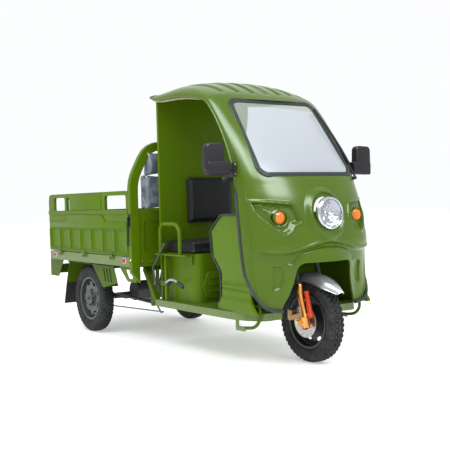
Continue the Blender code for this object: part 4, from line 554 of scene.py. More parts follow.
# Outlines on the fascia, in distance from the middle and height
EYE = [(0.436, 0.987), (0.428, 0.935), (0.404, 0.891), (0.352, 0.833), (0.312, 0.800), (0.296, 0.797),
       (0.262, 0.819), (0.240, 0.852), (0.208, 0.860), (0.196, 0.868), (0.200, 0.906), (0.222, 0.958),
       (0.240, 0.966), (0.354, 0.978)]
EYE_TIP = (0.430, 0.975)
EYE_RIB_ENDS = [(0.335, 0.898), (0.318, 0.937), (0.262, 0.955)]
D_RECESS = [(0.347, 0.607), (0.305, 0.607), (0.284, 0.590), (0.276, 0.559), (0.280, 0.517), (0.300, 0.482),
            (0.330, 0.467), (0.347, 0.472)]
ARCH = [(0.278, 0.386), (0.255, 0.428), (0.228, 0.500), (0.216, 0.560), (0.208, 0.622)]


def crown(share):
    """Superellipse fall, 0 in the middle and 1 at the edge of the half width."""
    share = np.clip(np.abs(share), 0.0, 1.0)
    return 1.0 - (1.0 - share ** FULLNESS) ** (1.0 / FULLNESS)


def even_shares(columns):
    """Shares of the half width from -1 to 1, closer where the surface turns."""
    a = np.linspace(-np.pi / 2, np.pi / 2, columns + 1)
    return np.sign(a) * np.abs(np.sin(a)) ** (2.0 / FULLNESS)


def ramp(value, low, high):
    """Smooth step from 0 at low to 1 at high."""
    t = np.clip((value - low) / (high - low), 0.0, 1.0)
    return t * t * (3.0 - 2.0 * t)


def bell(value, reach):
    """Soft hump, 1 at zero and 0 from the reach outward."""
    return (1.0 - np.clip(np.abs(value) / reach, 0.0, 1.0) ** 2) ** 2


def segment_distance(x, z, start, end):
    """Distance to a straight segment, and the share of it where the nearest point lies."""
    a, b = np.asarray(start, float), np.asarray(end, float)
    t = ((x - a[0]) * (b[0] - a[0]) + (z - a[1]) * (b[1] - a[1])) / ((b - a) ** 2).sum()
    t = np.clip(t, 0.0, 1.0)
    return np.hypot(x - a[0] - t * (b[0] - a[0]), z - a[1] - t * (b[1] - a[1])), t


def depth_inside(x, z, outline):
    """Distance inside a closed outline, negative outside it."""
    nearest = np.full(np.shape(x), 9.0)
    inside = np.zeros(np.shape(x), bool)
    for a, b in zip(outline, outline[1:] + outline[:1]):
        nearest = np.minimum(nearest, segment_distance(x, z, a, b)[0])
        crosses = (a[1] > z) != (b[1] > z)
        rise = (b[1] - a[1]) or 1.0
        inside ^= crosses & (x < (b[0] - a[0]) * (z - a[1]) / rise + a[0])
    return np.where(inside, nearest, -nearest)


def front_relief(x, z):
    """How far the fascia stands proud: crease, brow, lamp cowl, lamp eyes with fan ribs, leg dish."""
    out = np.abs(x)
    # Crease under the lamps, with a bead along it
    wave = np.cos(np.pi * np.clip(out / 0.325, 0.0, 1.45))
    below = 0.722 + 0.030 * (wave - 0.2) - z
    side_fade = 1.0 - ramp(out, 0.41, 0.462)
    relief = -0.017 * ramp(below, 0.0, 0.022) * side_fade
    relief += 0.0085 * bell(below + 0.004, 0.015) * side_fade
    # Brow over the wheel arch
    brow_top = 0.622 + 0.090 * np.sqrt(np.clip(1.0 - (x / 0.235) ** 2, 0.0, 1.0))
    rise = np.clip((brow_top - z) / (brow_top - 0.610), 0.0, 1.0)
    relief += (0.014 * ramp(brow_top - z, 0.0, 0.008) + 0.044 * rise ** 0.8) * bell(x, 0.300) ** 0.7
    # Headlamp cowl and leg dish
    cowl = np.hypot(x, (z - LAMP_Z) * 0.92)
    relief += 0.026 * (1.0 - ramp(cowl, 0.124, 0.152)) - 0.012 * (1.0 - ramp(cowl, 0.108, 0.119))
    relief -= 0.013 * ramp(depth_inside(out, z, D_RECESS), -0.002, 0.006)
    # Lamp eye, the ribs that fan out in it, and the signal's collar
    rim = depth_inside(out, z, EYE)
    eye = ramp(rim, 0.0, 0.008)
    relief += 0.009 * bell(rim + 0.006, 0.012) - 0.022 * eye
    for end in EYE_RIB_ENDS:
        gap, t = segment_distance(out, z, EYE_TIP, end)
        relief += 0.010 * bell(gap, 0.003 + 0.010 * t) * np.sin(np.pi * np.clip(t, 0.0, 1.0)) ** 0.4 * eye
    relief += 0.006 * bell(np.hypot(out - SIGNAL_X, z - SIGNAL_Z) - 0.050, 0.010)
    return relief


def front_grid(relief=1.0):
    """Outer points of the fascia, rows downward, columns from right to left: depth falls by the crown."""
    height, middle, edge, half = (FRONT_CURVE[:, k, None] for k in range(4))
    share = even_shares(FRONT_COLUMNS)[None, :]
    x = share * half
    z = np.broadcast_to(np.minimum(height, SPLIT_Z - SEAT_GAP), x.shape)
    y = middle + (edge - middle) * crown(share) - relief * front_relief(x, z)
    return np.stack([x, y, z], axis=2)


def roof_grid(relief=1.0):
    """Outer points of the roof and screen frame, with seven grooves let into its top."""
    middle_y, middle_z, edge_y, edge_z, half = (ROOF_CURVE[:, k, None] for k in range(5))
    share = even_shares(ROOF_COLUMNS)[None, :]
    fall = crown(share)
    x = share * half
    y = middle_y + (edge_y - middle_y) * fall
    z = middle_z + (edge_z - middle_z) * fall
    across = np.abs((x + GROOVE_PITCH / 2) % GROOVE_PITCH - GROOVE_PITCH / 2)
    cut = ramp(0.026 - across, 0.0, 0.012) * ramp(0.375 - np.abs(x), 0.0, 0.02)
    cut = cut * ramp(y, -0.865 + 0.5 * x * x, -0.815 + 0.5 * x * x) * ramp(-0.215 - y, 0.0, 0.035)
    return np.stack([x, y, z - GROOVE_DEPTH * relief * cut], axis=2)


def skin_piece(name, outer, inner, look, sharp):
    """Closed skin: two grids of the same size, the inner one turned over, joined round their rims."""
    rows, columns = outer.shape[:2]
    count = rows * columns
    sheet = grid_faces(rows, columns)
    number = np.arange(count).reshape(rows, columns)
    rim = np.concatenate([number[0], number[1:, -1], number[-1, -2::-1], number[-2:0:-1, 0]])
    turn = np.roll(rim, -1)
    walls = np.stack([rim, turn, turn + count, rim + count], axis=1)
    points = np.concatenate([outer.reshape(-1, 3), inner.reshape(-1, 3)])
    faces = np.concatenate([sheet, sheet[:, ::-1] + count, walls])
    return face_out(mesh_piece(name, points, faces, look, sharp))


def wall_piece(name, grid, plain, look, thickness=WALL, level_row=None):
    """A sheet of real thickness: the grid, and the grid moved in along the plain grid's unit normals."""
    normal = np.cross(np.gradient(plain, axis=0), np.gradient(plain, axis=1))
    if level_row is not None:
        normal[level_row, :, 2] = 0.0
    normal /= np.linalg.norm(normal, axis=2, keepdims=True)
    return skin_piece(name, grid, grid - normal * thickness, look, 50.0)


def screen_outline(inset, steps=10):
    """Windscreen outline seen from the front, pulled in by an inset."""
    low, foot = SCREEN_LOW[0] - inset, SCREEN_LOW[1] + inset
    high, top = SCREEN_TOP[0] - inset, SCREEN_TOP[1] - inset
    corners = [(-low, foot), (low, foot), (high, top), (-high, top)]
    return rounded_outline(corners, SCREEN_TURN - inset * 0.5, steps)


def screen_depth(x, z):
    """Depth y of the screen frame's surface at a place across and a height."""
    rows = ROOF_CURVE[SCREEN_START:]
    fall = crown(x[:, None] / rows[None, :, 4])
    height = rows[:, 1] + (rows[:, 3] - rows[:, 1]) * fall
    depth = rows[:, 0] + (rows[:, 2] - rows[:, 0]) * fall
    return np.array([np.interp(-level, -line, deep) for level, line, deep in zip(z, height, depth)])


def fascia_depth(x, z):
    """Depth y of the plain fascia at a place across and a height."""
    height, middle, edge, half = (FRONT_CURVE[::-1, k] for k in range(4))
    middle, edge, half = (np.interp(z, height, column) for column in (middle, edge, half))
    return middle + (edge - middle) * crown(np.minimum(x / half, 0.9999))


# ---- Finishes of the pieces
SCRAP = Finish("scrap", (0.5, 0.5, 0.5), 0.5)
# The panel copy, on the bed, seat box and cab walls, is lightened as painted light; the shell copy, on the
# front moulding and roof, is darkened as painted shade; the frame copy is darker too.
PAINT = paint_finish("green_paint", 0.24, 0.25, 0.42, 0.86)
PANEL = paint_finish("panel_paint", 0.30, 0.30, 0.09, 1.14)
FRAME_PAINT = paint_finish("frame_paint", 0.36, 0.55, 0.08, 0.80)
DECK = deck_finish()
GLASS = screen_finish()
SEAL = rubber_finish("seal_rubber", (0.022, 0.028, 0.026), 0.50)
RUBBER = rubber_finish("edge_rubber", (0.030, 0.034, 0.036), 0.50)
FLAP = rubber_finish("flap_rubber", (0.018, 0.019, 0.021), 0.60, 24.0)
TYRE = tyre_finish()
VINYL = hide_finish("black_vinyl", (0.011, 0.011, 0.012), 0.50)
WRAP = wrap_finish()
PLASTIC = moulded_finish("black_plastic", (0.013, 0.012, 0.015), 0.42)
CHROME = metal_finish("bright_chrome", (0.52, 0.54, 0.57), 0.12, 0.06, 0.0, 0.12)
POLISHED = metal_finish("polished_steel", (0.40, 0.42, 0.44), 0.24, 0.08, 0.0, 0.10, 0.62)
MIRROR = metal_finish("reflector", (0.36, 0.38, 0.41), 0.12, 0.05, 0.0, 0.0)
STEEL = enamel_finish("dark_frame", (0.045, 0.048, 0.052), 0.42)
RIM = enamel_finish("rim_grey", (0.060, 0.066, 0.064), 0.40)
BLACK_RIM = enamel_finish("rim_black", (0.022, 0.023, 0.025), 0.30, 0.12)
GOLD = metal_finish("gold_anodised", (0.86, 0.36, 0.10), 0.26, 0.10, 40.0, 0.10)
RED = enamel_finish("red_anodised", (0.62, 0.055, 0.012), 0.24, 0.05)
BRONZE = metal_finish("bronze_cast", (0.42, 0.27, 0.13), 0.44, 0.16, 0.0, 0.30, 0.85)
DISC = metal_finish("brake_steel", (0.46, 0.42, 0.40), 0.30, 0.12, 90.0, 0.10)
ZINC = metal_finish("zinc_yellow", (0.72, 0.55, 0.22), 0.34, 0.14, 0.0, 0.20)
AMBER = lens_finish("amber_lens", (0.60, 0.150, 0.002), 26.0, 0.06)
RED_LENS = lens_finish("red_lens", (0.55, 0.016, 0.012), 30.0, 0.06)
WHITE_LENS = lens_finish("pale_lens", (0.72, 0.74, 0.76), 34.0, 0.05)
LINER = hide_finish("cream_liner", (0.52, 0.47, 0.34), 0.60)
CLEAR = Finish("clear_lens", (0.84, 0.88, 0.92), 0.03, Coat_Weight=0.6, Coat_Roughness=0.02)
CLEAR.set("Alpha", CLEAR.noise(30.0, 2.0) * 0.05 + 0.03)


# ---- Front moulding
fascia = wall_piece("front_fascia_moulding", front_grid(), front_grid(0.0), PAINT, WALL, 0)
leg_foot = smooth_path([(0.290, 0.345), (0.363, 0.356), (0.415, 0.386), (0.444, 0.440), (0.462, 0.520)], 6)
half_arch = [(0.300, 0.300)] + ARCH
arch_radii = [0.0001] + [0.02] * (len(ARCH) - 1) + [0.05]
arch_corners = [(-x, z) for x, z in half_arch] + half_arch[::-1]
arch_path = rounded_outline(arch_corners, arch_radii + arch_radii[::-1], 5)
holes = [cutter(arch_path, "Y", -1.60, -1.00),
         cutter(circle_outline(0.0, LAMP_Z, LAMP_RADIUS, 72), "Y", -1.55, -1.20)]
for side_name, side in RIGHT_LEFT:
    holes.append(cutter(circle_outline(side * SIGNAL_X, SIGNAL_Z, SIGNAL_RADIUS, 48), "Y", -1.50, -1.20))
    outline = [(0.290, 0.300)] + leg_foot.tolist() + [(0.520, 0.520), (0.520, 0.300)]
    holes.append(cutter([(side * x, z) for x, z in outline], "Y", -1.60, -1.00))
cut_by(fascia, 38.0, *holes)
mounted(fascia, "tricycle", "front_fascia")

roof = wall_piece("cab_roof_moulding", roof_grid(), roof_grid(0.0), PAINT)
cut_by(roof, 38.0, cutter(screen_outline(0.0), "Y", -1.60, -0.60))
mounted(roof, "tricycle", "cab_roof")


# ---- Windscreen: pane and seal bead
def screen_points(outline, sink):
    """Places on the screen surface: depth from the frame's curve, moved back by a sink."""
    o = np.asarray(outline, float)
    return np.stack([o[:, 0], screen_depth(o[:, 0], o[:, 1]) + sink, o[:, 1]], axis=1)


def pane_piece():
    """Pane: rings of its outline shrunk toward its middle, each point laid on the screen's curve."""
    rim = np.asarray(screen_outline(0.0263))
    middle = rim.mean(axis=0)
    shares = np.sin(np.linspace(0.01, 1.0, 22) * np.pi / 2)
    layers = [np.array([screen_points(middle + share * (rim - middle), sink) for share in shares])
              for sink in (0.004, 0.009)]
    rings, count = layers[0].shape[:2]
    sheet = grid_faces(rings, count, wrap_columns=True)
    size = rings * count
    j = np.arange(count)
    turn = (j + 1) % count
    edge = (rings - 1) * count
    walls = np.stack([edge + j, edge + turn, edge + turn + size, edge + j + size], axis=1)
    points = np.concatenate([layer.reshape(-1, 3) for layer in layers])
    faces = np.concatenate([sheet, sheet[:, ::-1] + size, walls])
    caps = [range(count), range(size + count - 1, size - 1, -1)]
    return face_out(mesh_piece("windscreen_pane", points, faces, GLASS, 40.0, caps))


mounted(pane_piece(), "tricycle", "windscreen")
bead = [(-0.0165, -0.007), (0.0, -0.009), (0.0165, -0.007), (0.0185, 0.000), (0.0155, 0.0046),
        (0.0070, 0.0056), (0.0022, 0.0030), (-0.0022, 0.0030), (-0.0070, 0.0056), (-0.0155, 0.0046),
        (-0.0185, 0.000)]
seal = swept_piece("windscreen_bead", screen_points(screen_outline(0.0115, 14), 0.0), bead, SEAL,
                   up=(0.0, -0.83, 0.56), closed=True, sharp=60)
finer(seal)
mounted(seal, "tricycle", "windscreen_seal")


# ---- Headlamp and turn signals
lamp_place = (0.0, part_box("headlamp")[0].y, LAMP_Z)
ring = [(0.0835, 0.014), (0.0850, 0.0070), (0.0885, 0.0040), (0.0925, 0.0048), (0.0965, 0.010),
        (0.0992, 0.018), (0.0996, 0.036), (0.0930, 0.036), (0.0835, 0.022), (0.0835, 0.014)]
bezel = turned_piece("headlamp_bezel", ring, lamp_place, "Y", CHROME, 120)
lens = turned_piece("headlamp_lens", [(0.0, 0.0010), (0.022, 0.0016), (0.044, 0.0035), (0.064, 0.0072),
                                      (0.080, 0.0120), (0.0846, 0.0150), (0.0846, 0.0180), (0.060, 0.0105),
                                      (0.030, 0.0055), (0.0, 0.0045)], lamp_place, "Y", CLEAR, 96, 60)


def reflector_piece():
    """Faceted bowl, shallower outward, each facet tilted by turns."""
    steps, rings = 40, 9
    a = 2 * np.pi * np.arange(steps)[:, None] / steps
    t = np.linspace(0.0, 1.0, rings)[None, :]
    r = 0.012 + 0.0712 * t
    odd = ((np.arange(steps)[:, None] // 2 + np.arange(rings)[None, :]) % 2) * 2 - 1
    y = 0.056 - 0.040 * t ** 1.7 + 0.0018 * odd * np.sin(np.pi * t)
    front_side = np.stack([r * np.cos(a), y, r * np.sin(a)], axis=2)
    back = np.stack([(r + 0.0006) * np.cos(a), y + 0.003, (r + 0.0006) * np.sin(a)], axis=2)
    points = np.concatenate([front_side, back[:, ::-1]], axis=1)
    faces = grid_faces(steps, 2 * rings, wrap_rows=True, wrap_columns=True)
    return face_out(mesh_piece("headlamp_reflector", points + np.array(lamp_place), faces, MIRROR, 4.0))


reflector = reflector_piece()
bulb = turned_piece("headlamp_bulb", [(0.0, 0.026), (0.006, 0.028), (0.0085, 0.034), (0.0085, 0.050),
                                      (0.014, 0.053), (0.014, 0.060), (0.0, 0.060)],
                    lamp_place, "Y", CHROME, 32)
for piece in (bezel, lens, reflector, bulb):
    mounted(piece, "tricycle", "headlamp")

DOME = [(0.0, 0.0), (0.012, 0.0008), (0.024, 0.0040), (0.033, 0.0095), (0.0385, 0.0165), (0.0385, 0.0240),
        (0.0, 0.0240)]
HOOP = [(0.0388, 0.0120), (0.0402, 0.0096), (0.0428, 0.0096), (0.0452, 0.0130), (0.0456, 0.0240),
        (0.0388, 0.0240), (0.0388, 0.0120)]
for side_name, side in RIGHT_LEFT:
    node = f"turn_signal_{side_name}"
    place = (side * SIGNAL_X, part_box(node)[0].y, SIGNAL_Z)
    mounted(turned_piece(f"signal_lens_{side_name}", DOME, place, "Y", AMBER, 64, 50), "tricycle", node)
    mounted(turned_piece(f"signal_ring_{side_name}", HOOP, place, "Y", PAINT, 64), "tricycle", node)


# ---- Tyres with block tread
def tyre_piece(name, node, body, centre, radius, width):
    """Turned section whose tread rises and falls: three block rows, shifted in turn, and shoulder lugs."""
    pitch_count, per_pitch, half = 46, 8, width / 2
    a = 2 * np.pi * np.arange(pitch_count * per_pitch) / (pitch_count * per_pitch)
    base = smooth_path([(0.162, 0.036), (0.172, 0.037), (0.184, 0.0455), (radius - 0.042, half - 0.001),
                        (radius - 0.024, half - 0.0015), (radius - 0.013, half - 0.006),
                        (radius - 0.005, half - 0.014), (radius - 0.0015, half - 0.026), (radius, 0.0)], 6)
    r = np.concatenate([base[:, 0], base[-2::-1, 0]])
    w = np.concatenate([base[:, 1], -base[-2::-1, 1]])
    across = np.abs(w)[None, :] / half
    step = a[:, None] * pitch_count / (2 * np.pi)
    shift = np.where(across < 0.26, 0.0, np.where(across < 0.58, 0.5, 0.15)) + 0.12 * np.sign(w)[None, :]
    part = (step + shift) % 1.0
    gap = np.where(across < 0.58, 0.15, 0.23)
    block = ramp(0.5 - np.abs(part - 0.5), gap * 0.6, gap * 1.3)
    ways = ramp(np.abs(across - 0.26), 0.012, 0.045) * ramp(np.abs(across - 0.58), 0.012, 0.045)
    tread = ramp(r[None, :], radius - 0.034, radius - 0.026)
    depth = (1.0 - block * ways) * tread * np.where(across < 0.9, 0.0085, 0.0060)
    wall = 0.0012 * (bell(r[None, :] - (radius - 0.046), 0.004) + bell(r[None, :] - 0.190, 0.003))
    # The bore, two more columns on the inside
    lift = np.hstack([r[None, :] - depth, np.full((len(a), 2), 0.158)])
    stand = np.append(w + wall[0] * np.sign(w), (-0.034, 0.034))
    turn = a[:, None]
    points = np.stack(np.broadcast_arrays(stand, lift * np.cos(turn), lift * np.sin(turn)), axis=2)
    faces = grid_faces(*lift.shape, wrap_rows=True, wrap_columns=True)
    piece = face_out(mesh_piece(name, points + np.asarray(centre), faces, TYRE, 32.0))
    mounted(piece, body, node)


FRONT_HUB = (0.0, -1.228, 0.253)
REAR_HUB = {side_name: (side * 0.4475, 0.848, 0.261) for side_name, side in RIGHT_LEFT}
tyre_piece("tread_front", "front_tyre", "front_wheel", FRONT_HUB, 0.253, 0.104)
for side_name, hub in REAR_HUB.items():
    tyre_piece(f"tread_{side_name}", f"rear_tyre_{side_name}", f"rear_wheel_{side_name}", hub, 0.261, 0.103)


# ---- Wheels
def sided(side, profile):
    """A profile turned to face out on its side."""
    return [(r, side * u) for r, u in profile]


def around(hub, radius, turn):
    """Place at a radius and an angle round a hub."""
    return hub[0], hub[1] + radius * math.cos(turn), hub[2] + radius * math.sin(turn)


def rim_piece(name, node, body, centre, side, hub, look):
    """Barrel, flanges and dished disc turned round the axle, with oval windows cut through the dish."""
    hub_radius, hub_out, hub_in = hub
    barrel, flange, bore = 0.1535, 0.168, 0.0106
    front = smooth_path([(hub_radius, hub_out), (hub_radius + 0.004, 0.016), (0.075, 0.021), (0.105, 0.024),
                         (0.128, 0.021), (0.142, 0.012), (barrel, 0.006)], 5)
    back = smooth_path([(barrel, -0.002), (0.142, 0.004), (0.128, 0.014), (0.105, 0.018), (0.075, 0.015),
                        (hub_radius + 0.006, 0.008), (hub_radius - 0.004, 0.0)], 4)
    lip = [(barrel, 0.038), (0.1560, 0.0400), (0.1660, 0.0412), (flange + 0.001, 0.0400),
           (flange + 0.001, 0.0368), (0.1600, 0.0350), (0.1572, 0.0310)]
    profile = lip + [(r, -u) for r, u in lip[::-1]] + back.tolist() + [(hub_radius - 0.004, hub_in),
                                                                      (bore, hub_in), (bore, hub_out + 0.004)]
    profile += front.tolist() + lip[:1]
    wheel = turned_piece(name, sided(side, profile), centre, "X", look, 96, 35)
    windows = []
    a = np.linspace(0, 2 * np.pi, 24, endpoint=False)
    window_radius, half_height, half_length = 0.118, 0.0125, 0.0235
    u, v = window_radius + half_height * np.cos(a), half_length * np.sin(a)
    for i in range(8):
        turn = 2 * np.pi * (i + 0.5) / 8
        y = centre[1] + u * np.cos(turn) - v * np.sin(turn)
        z = centre[2] + u * np.sin(turn) + v * np.cos(turn)
        windows.append(cutter(np.stack([y, z], axis=1), "X", centre[0] + side * -0.004,
                              centre[0] + side * 0.045))
    cut_by(wheel, 32.0, *windows)
    mounted(wheel, body, node)


CAP = [(0.0, 0.0500), (0.010, 0.0495), (0.022, 0.0465), (0.030, 0.0400), (0.032, 0.0330), (0.043, 0.0325),
       (0.043, 0.0200), (0.0, 0.0200)]
NUT = [(0.0, 0.034), (0.005, 0.034), (0.0095, 0.031), (0.0095, 0.0185), (0.0, 0.0185)]
rim_piece("wheel_front", "front_rim", "front_wheel", FRONT_HUB, 1, (0.040, 0.055, -0.0497), BLACK_RIM)
for side_name, side in RIGHT_LEFT:
    body, hub = f"rear_wheel_{side_name}", REAR_HUB[side_name]
    rim_piece(f"wheel_{side_name}", f"rear_rim_{side_name}", body, hub, side, (0.045, 0.040, -0.028), RIM)
    mounted(turned_piece(f"hub_cap_{side_name}", sided(side, CAP), hub, "X", RIM, 64, 40), body)
    for i in range(5):
        spot = around(hub, 0.062, 2 * math.pi * i / 5 + 0.3)
        mounted(turned_piece(f"wheel_nut_{side_name}_{i}", sided(side, NUT), spot, "X", STEEL, 6, 30), body)


# ---- Drilled disc, carrier and hub bolts
DISC_X = -0.052
HOLE_ROWS, HOLE_RADIUS = (0.066, 0.077, 0.088), 0.0036
disc_ring = [(0.052, -0.0019), (0.0985, -0.0019), (0.0997, -0.0008), (0.0997, 0.0008), (0.0985, 0.0019),
             (0.052, 0.0019), (0.052, -0.0019)]
disc = turned_piece("brake_disc_face", [(r, DISC_X + u) for r, u in disc_ring], FRONT_HUB, "X", DISC, 144, 30)
shape = bmesh.new()
for ring, radius in enumerate(HOLE_ROWS):
    for i in range(12):
        spot = around(FRONT_HUB, radius, 2 * math.pi * (i + ring / 3) / 12)
        rod = cutter(circle_outline(*spot[1:], HOLE_RADIUS, 12), "X", DISC_X - 0.01, DISC_X + 0.01)
        shape.from_mesh(rod.data)
        bpy.data.objects.remove(rod)
drill = bpy.data.objects.new("drill", bpy.data.meshes.new("drill"))
shape.to_mesh(drill.data)
shape.free()
bpy.context.scene.collection.objects.link(drill)
cut_by(disc, 30.0, drill)
carrier_outline = []
for i in range(60):
    turn = 2 * math.pi * i / 60
    carrier_outline.append(around(FRONT_HUB, 0.044 + 0.011 * max(0.0, math.cos(5 * turn)) ** 0.6, turn)[1:])
carrier = plate_piece("disc_carrier", carrier_outline, "X", DISC_X - 0.0050, DISC_X - 0.0010, RED, 0.0008)
for piece in (disc, carrier):
    mounted(piece, "front_wheel", "brake_disc")
BOLT = [(0.0, -0.0095), (0.0045, -0.0095), (0.0055, -0.0080), (0.0055, -0.0030), (0.0, -0.0030)]
for i in range(5):
    spot = around(FRONT_HUB, 0.036, 2 * math.pi * i / 5)
    bolt = turned_piece(f"disc_bolt_{i}", [(r, DISC_X + u) for r, u in BOLT], spot, "X", ZINC, 18, 40)
    mounted(bolt, "front_wheel")


# ---- Front mudguard: chromed, with a rolled bead, a pointed tip and two stays
def guard_rows():
    """Rows of the guard from the tip back: radius falls off toward the skirts, flared at the tip."""
    share = np.linspace(0.0, 1.0, 64)[:, None]
    u = np.linspace(-1.0, 1.0, 33)[None, :]
    angle = np.radians(145.0 - 125.0 * share)
    flare = 0.0416 * np.clip(1.0 - share / 0.45, 0.0, 1.0) ** 2
    narrow = 1.0 - 0.62 * np.clip(1.0 - share / 0.20, 0.0, 1.0) ** 1.7
    radius = 0.2945 + flare - 0.008 * u ** 2 - 0.046 * np.abs(u) ** 3.4 * (1.0 - 0.70 * np.exp(-share * 9.0))
    radius = radius + 0.0022 * bell(np.abs(u) - 0.97, 0.05) + 0.003 * bell(u, 0.22)
    x = u * 0.066 * narrow
    return np.stack(np.broadcast_arrays(x, FRONT_HUB[1] + radius * np.cos(angle),
                                        FRONT_HUB[2] + radius * np.sin(angle)), axis=2)


rows = guard_rows()
guard = wall_piece("front_mudguard_sheet", rows, rows, POLISHED, 0.0022)
edge_path = np.concatenate([rows[::-1, 0], rows[0, 1:-1], rows[:, -1]])
bead_edge = swept_piece("front_mudguard_bead", edge_path, ring_section(0.0030, 10), CHROME,
                        up=(0.0, 0.3, 1.0))
for piece in (guard, bead_edge):
    mounted(piece, "steering", "front_mudguard")
for side_name, side in RIGHT_LEFT:
    near, far = sorted((side * 0.050, side * 0.070))
    stay = box_piece(f"guard_stay_{side_name}", (near, -1.168, 0.505), (far, -1.140, 0.530), CHROME, 0.002)
    mounted(stay, "steering", "front_mudguard")


# ---- Cushions and pads, blown up as cloth
CLOTH = {"quality": 5, "mass": 0.3, "tension_stiffness": 12.0, "compression_stiffness": 12.0,
         "bending_stiffness": 0.6, "use_pressure": True, "uniform_pressure_force": 4.0}
CLOTH_FRAMES = 20


def read_points(mesh, kind="co"):
    """A row of three numbers for each vertex of a mesh: its place or its normal."""
    values = np.empty(len(mesh.vertices) * 3)
    mesh.vertices.foreach_get(kind, values)
    return values.reshape(-1, 3)


def swelled(name, node, look, inset, cap, voxel, held, ridges):
    """Soft block: the solid's box drawn in, remeshed, swelled under pressure, each move held to a cap.

    held is (axis, end): the side that rests on something, whose points keep their place, or None.
    ridges(points) gives each point's extra stand, for wrinkles and sewn lines.
    """
    low, high = (np.array(corner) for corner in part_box(node))
    shrink = np.array(np.broadcast_to(inset, (2, 3)), float)
    if held:
        shrink[0 if held[1] < 0 else 1, held[0]] = 0.0008
    low, high = low + shrink[0], high - shrink[1]
    piece = box_piece(name, low, high, look, 0.016)
    piece.modifiers["round"].segments = 4
    net = piece.modifiers.new("net", "REMESH")
    net.mode, net.voxel_size = "VOXEL", voxel
    piece.data = bpy.data.meshes.new_from_object(piece.evaluated_get(bpy.context.evaluated_depsgraph_get()))
    piece.modifiers.clear()
    place = rest = read_points(piece.data)
    cloth = piece.modifiers.new("cloth", "CLOTH")
    for key, value in CLOTH.items():
        setattr(cloth.settings, key, value)
    cloth.settings.effector_weights.gravity = 0.0
    cloth.point_cache.frame_start, cloth.point_cache.frame_end = 1, CLOTH_FRAMES
    for frame_number in range(1, CLOTH_FRAMES + 1):
        bpy.context.scene.frame_set(frame_number)
    place = read_points(piece.evaluated_get(bpy.context.evaluated_depsgraph_get()).data)
    piece.modifiers.clear()
    bpy.context.scene.frame_set(1)
    move = place - rest
    size = np.linalg.norm(move, axis=1, keepdims=True)
    move *= np.minimum(1.0, cap / np.maximum(size, 1e-9))
    if held:
        end = low[held[0]] if held[1] < 0 else high[held[0]]
        move = move * ramp(np.abs(rest[:, held[0]] - end), 0.001, 0.030)[:, None]
    place = rest + move
    place = place + read_points(piece.data, "normal") * ridges(place)[:, None]
    piece.data.vertices.foreach_set("co", place.ravel())
    piece.data.update()
    piece.data.shade_smooth()
    finer(piece)
    mounted(piece, "tricycle", node)
    return piece


def hugged(piece, path, lift):
    """Lays a closed path on a swelled piece: nearest surface points, averaged, lifted by a little."""
    tree = BVHTree.FromObject(piece, bpy.context.evaluated_depsgraph_get())
    laid = []
    for point in path:
        place, normal, _, _ = tree.find_nearest(Vector(point))
        laid.append(place + normal * lift)
    laid = np.array(laid)
    for _ in range(2):
        laid = (np.roll(laid, 1, axis=0) + 2 * laid + np.roll(laid, -1, axis=0)) / 4
    return laid


def seat_seams(points):
    """Dips along two sewn lines near the seat's front and rear edges."""
    low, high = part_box("seat_cushion")
    top = ramp(points[:, 2], high.z - 0.030, high.z - 0.012)
    line = bell(points[:, 1] - (low.y + 0.058), 0.010) + bell(points[:, 1] - (high.y - 0.050), 0.010)
    return -0.004 * line * top


def back_seams(points):
    """A sewn border 28 mm in from the backrest's edges."""
    low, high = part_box("backrest_pad")
    inner = np.minimum(np.minimum(points[:, 0] - low.x, high.x - points[:, 0]),
                       np.minimum(points[:, 2] - low.z, high.z - points[:, 2]))
    return -0.0030 * bell(inner - 0.028, 0.008) * ramp(-points[:, 1], -low.y - 0.03, -low.y - 0.01)


def film_folds(points):
    """Slack film over the pads: crossing waves that lean, strongest toward the lower corners."""
    x, z = points[:, 0], points[:, 2]
    wave = np.sin(52.0 * z + 9.0 * x + 3.0 * np.sin(11.0 * x)) * np.sin(17.0 * x + 26.0 * z)
    return 0.0030 * np.sign(wave) * np.abs(wave) ** 1.6


seat = swelled("seat_cover", "seat_cushion", VINYL, 0.011, 0.013, 0.008, (2, -1), seat_seams)
back = swelled("backrest_cover", "backrest_pad", VINYL, 0.008, 0.009, 0.006, (1, 1), back_seams)
pads = {level: swelled(f"hoop_pad_film_{level}", f"hoop_pad_{level}", WRAP,
                       ((0.008, 0.008, below), (0.008, 0.008, above)), 0.009, 0.008, None, film_folds)
        for level, below, above in (("lower", 0.008, -0.009), ("upper", 0.009, -0.010))}


def piped(name, piece, node, axes, offset, radius, look):
    """Welt cord round a pad: a rounded rectangle in two axes at a level of the third, laid on the pad.

    offset is how far the level lies from the solid's low face, or below its high face if negative.
    """
    low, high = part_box(node)
    a, b = axes
    third = 3 - a - b
    level = (low if offset > 0 else high)[third] + offset
    corners = [(low[a], low[b]), (high[a], low[b]), (high[a], high[b]), (low[a], high[b])]
    outline = rounded_outline(corners, 0.022, 6)
    spans = []
    for p, q in zip(outline, np.roll(outline, -1, axis=0)):
        parts = max(1, int(np.linalg.norm(q - p) / 0.012))
        spans.append(p + (q - p) * (np.arange(parts) / parts)[:, None])
    outline = np.concatenate(spans)
    path = np.empty((len(outline), 3))
    path[:, a], path[:, b], path[:, third] = outline[:, 0], outline[:, 1], level
    mounted(swept_piece(name, hugged(piece, path, radius * 0.2), ring_section(radius, 8), look,
                        up=tuple(1.0 if k == third else 0.0 for k in range(3)), closed=True))


piped("seat_welt", seat, "seat_cushion", (0, 1), -0.012, 0.0028, VINYL)
piped("backrest_welt", back, "backrest_pad", (0, 2), 0.010, 0.0026, VINYL)
for level, label, offset in (("lower", "", 0.010), ("lower", "_rear", -0.010), ("upper", "", 0.010)):
    piped(f"hoop_pad_seam_{level}{label}", pads[level], f"hoop_pad_{level}", (0, 2), offset, 0.0024, WRAP)


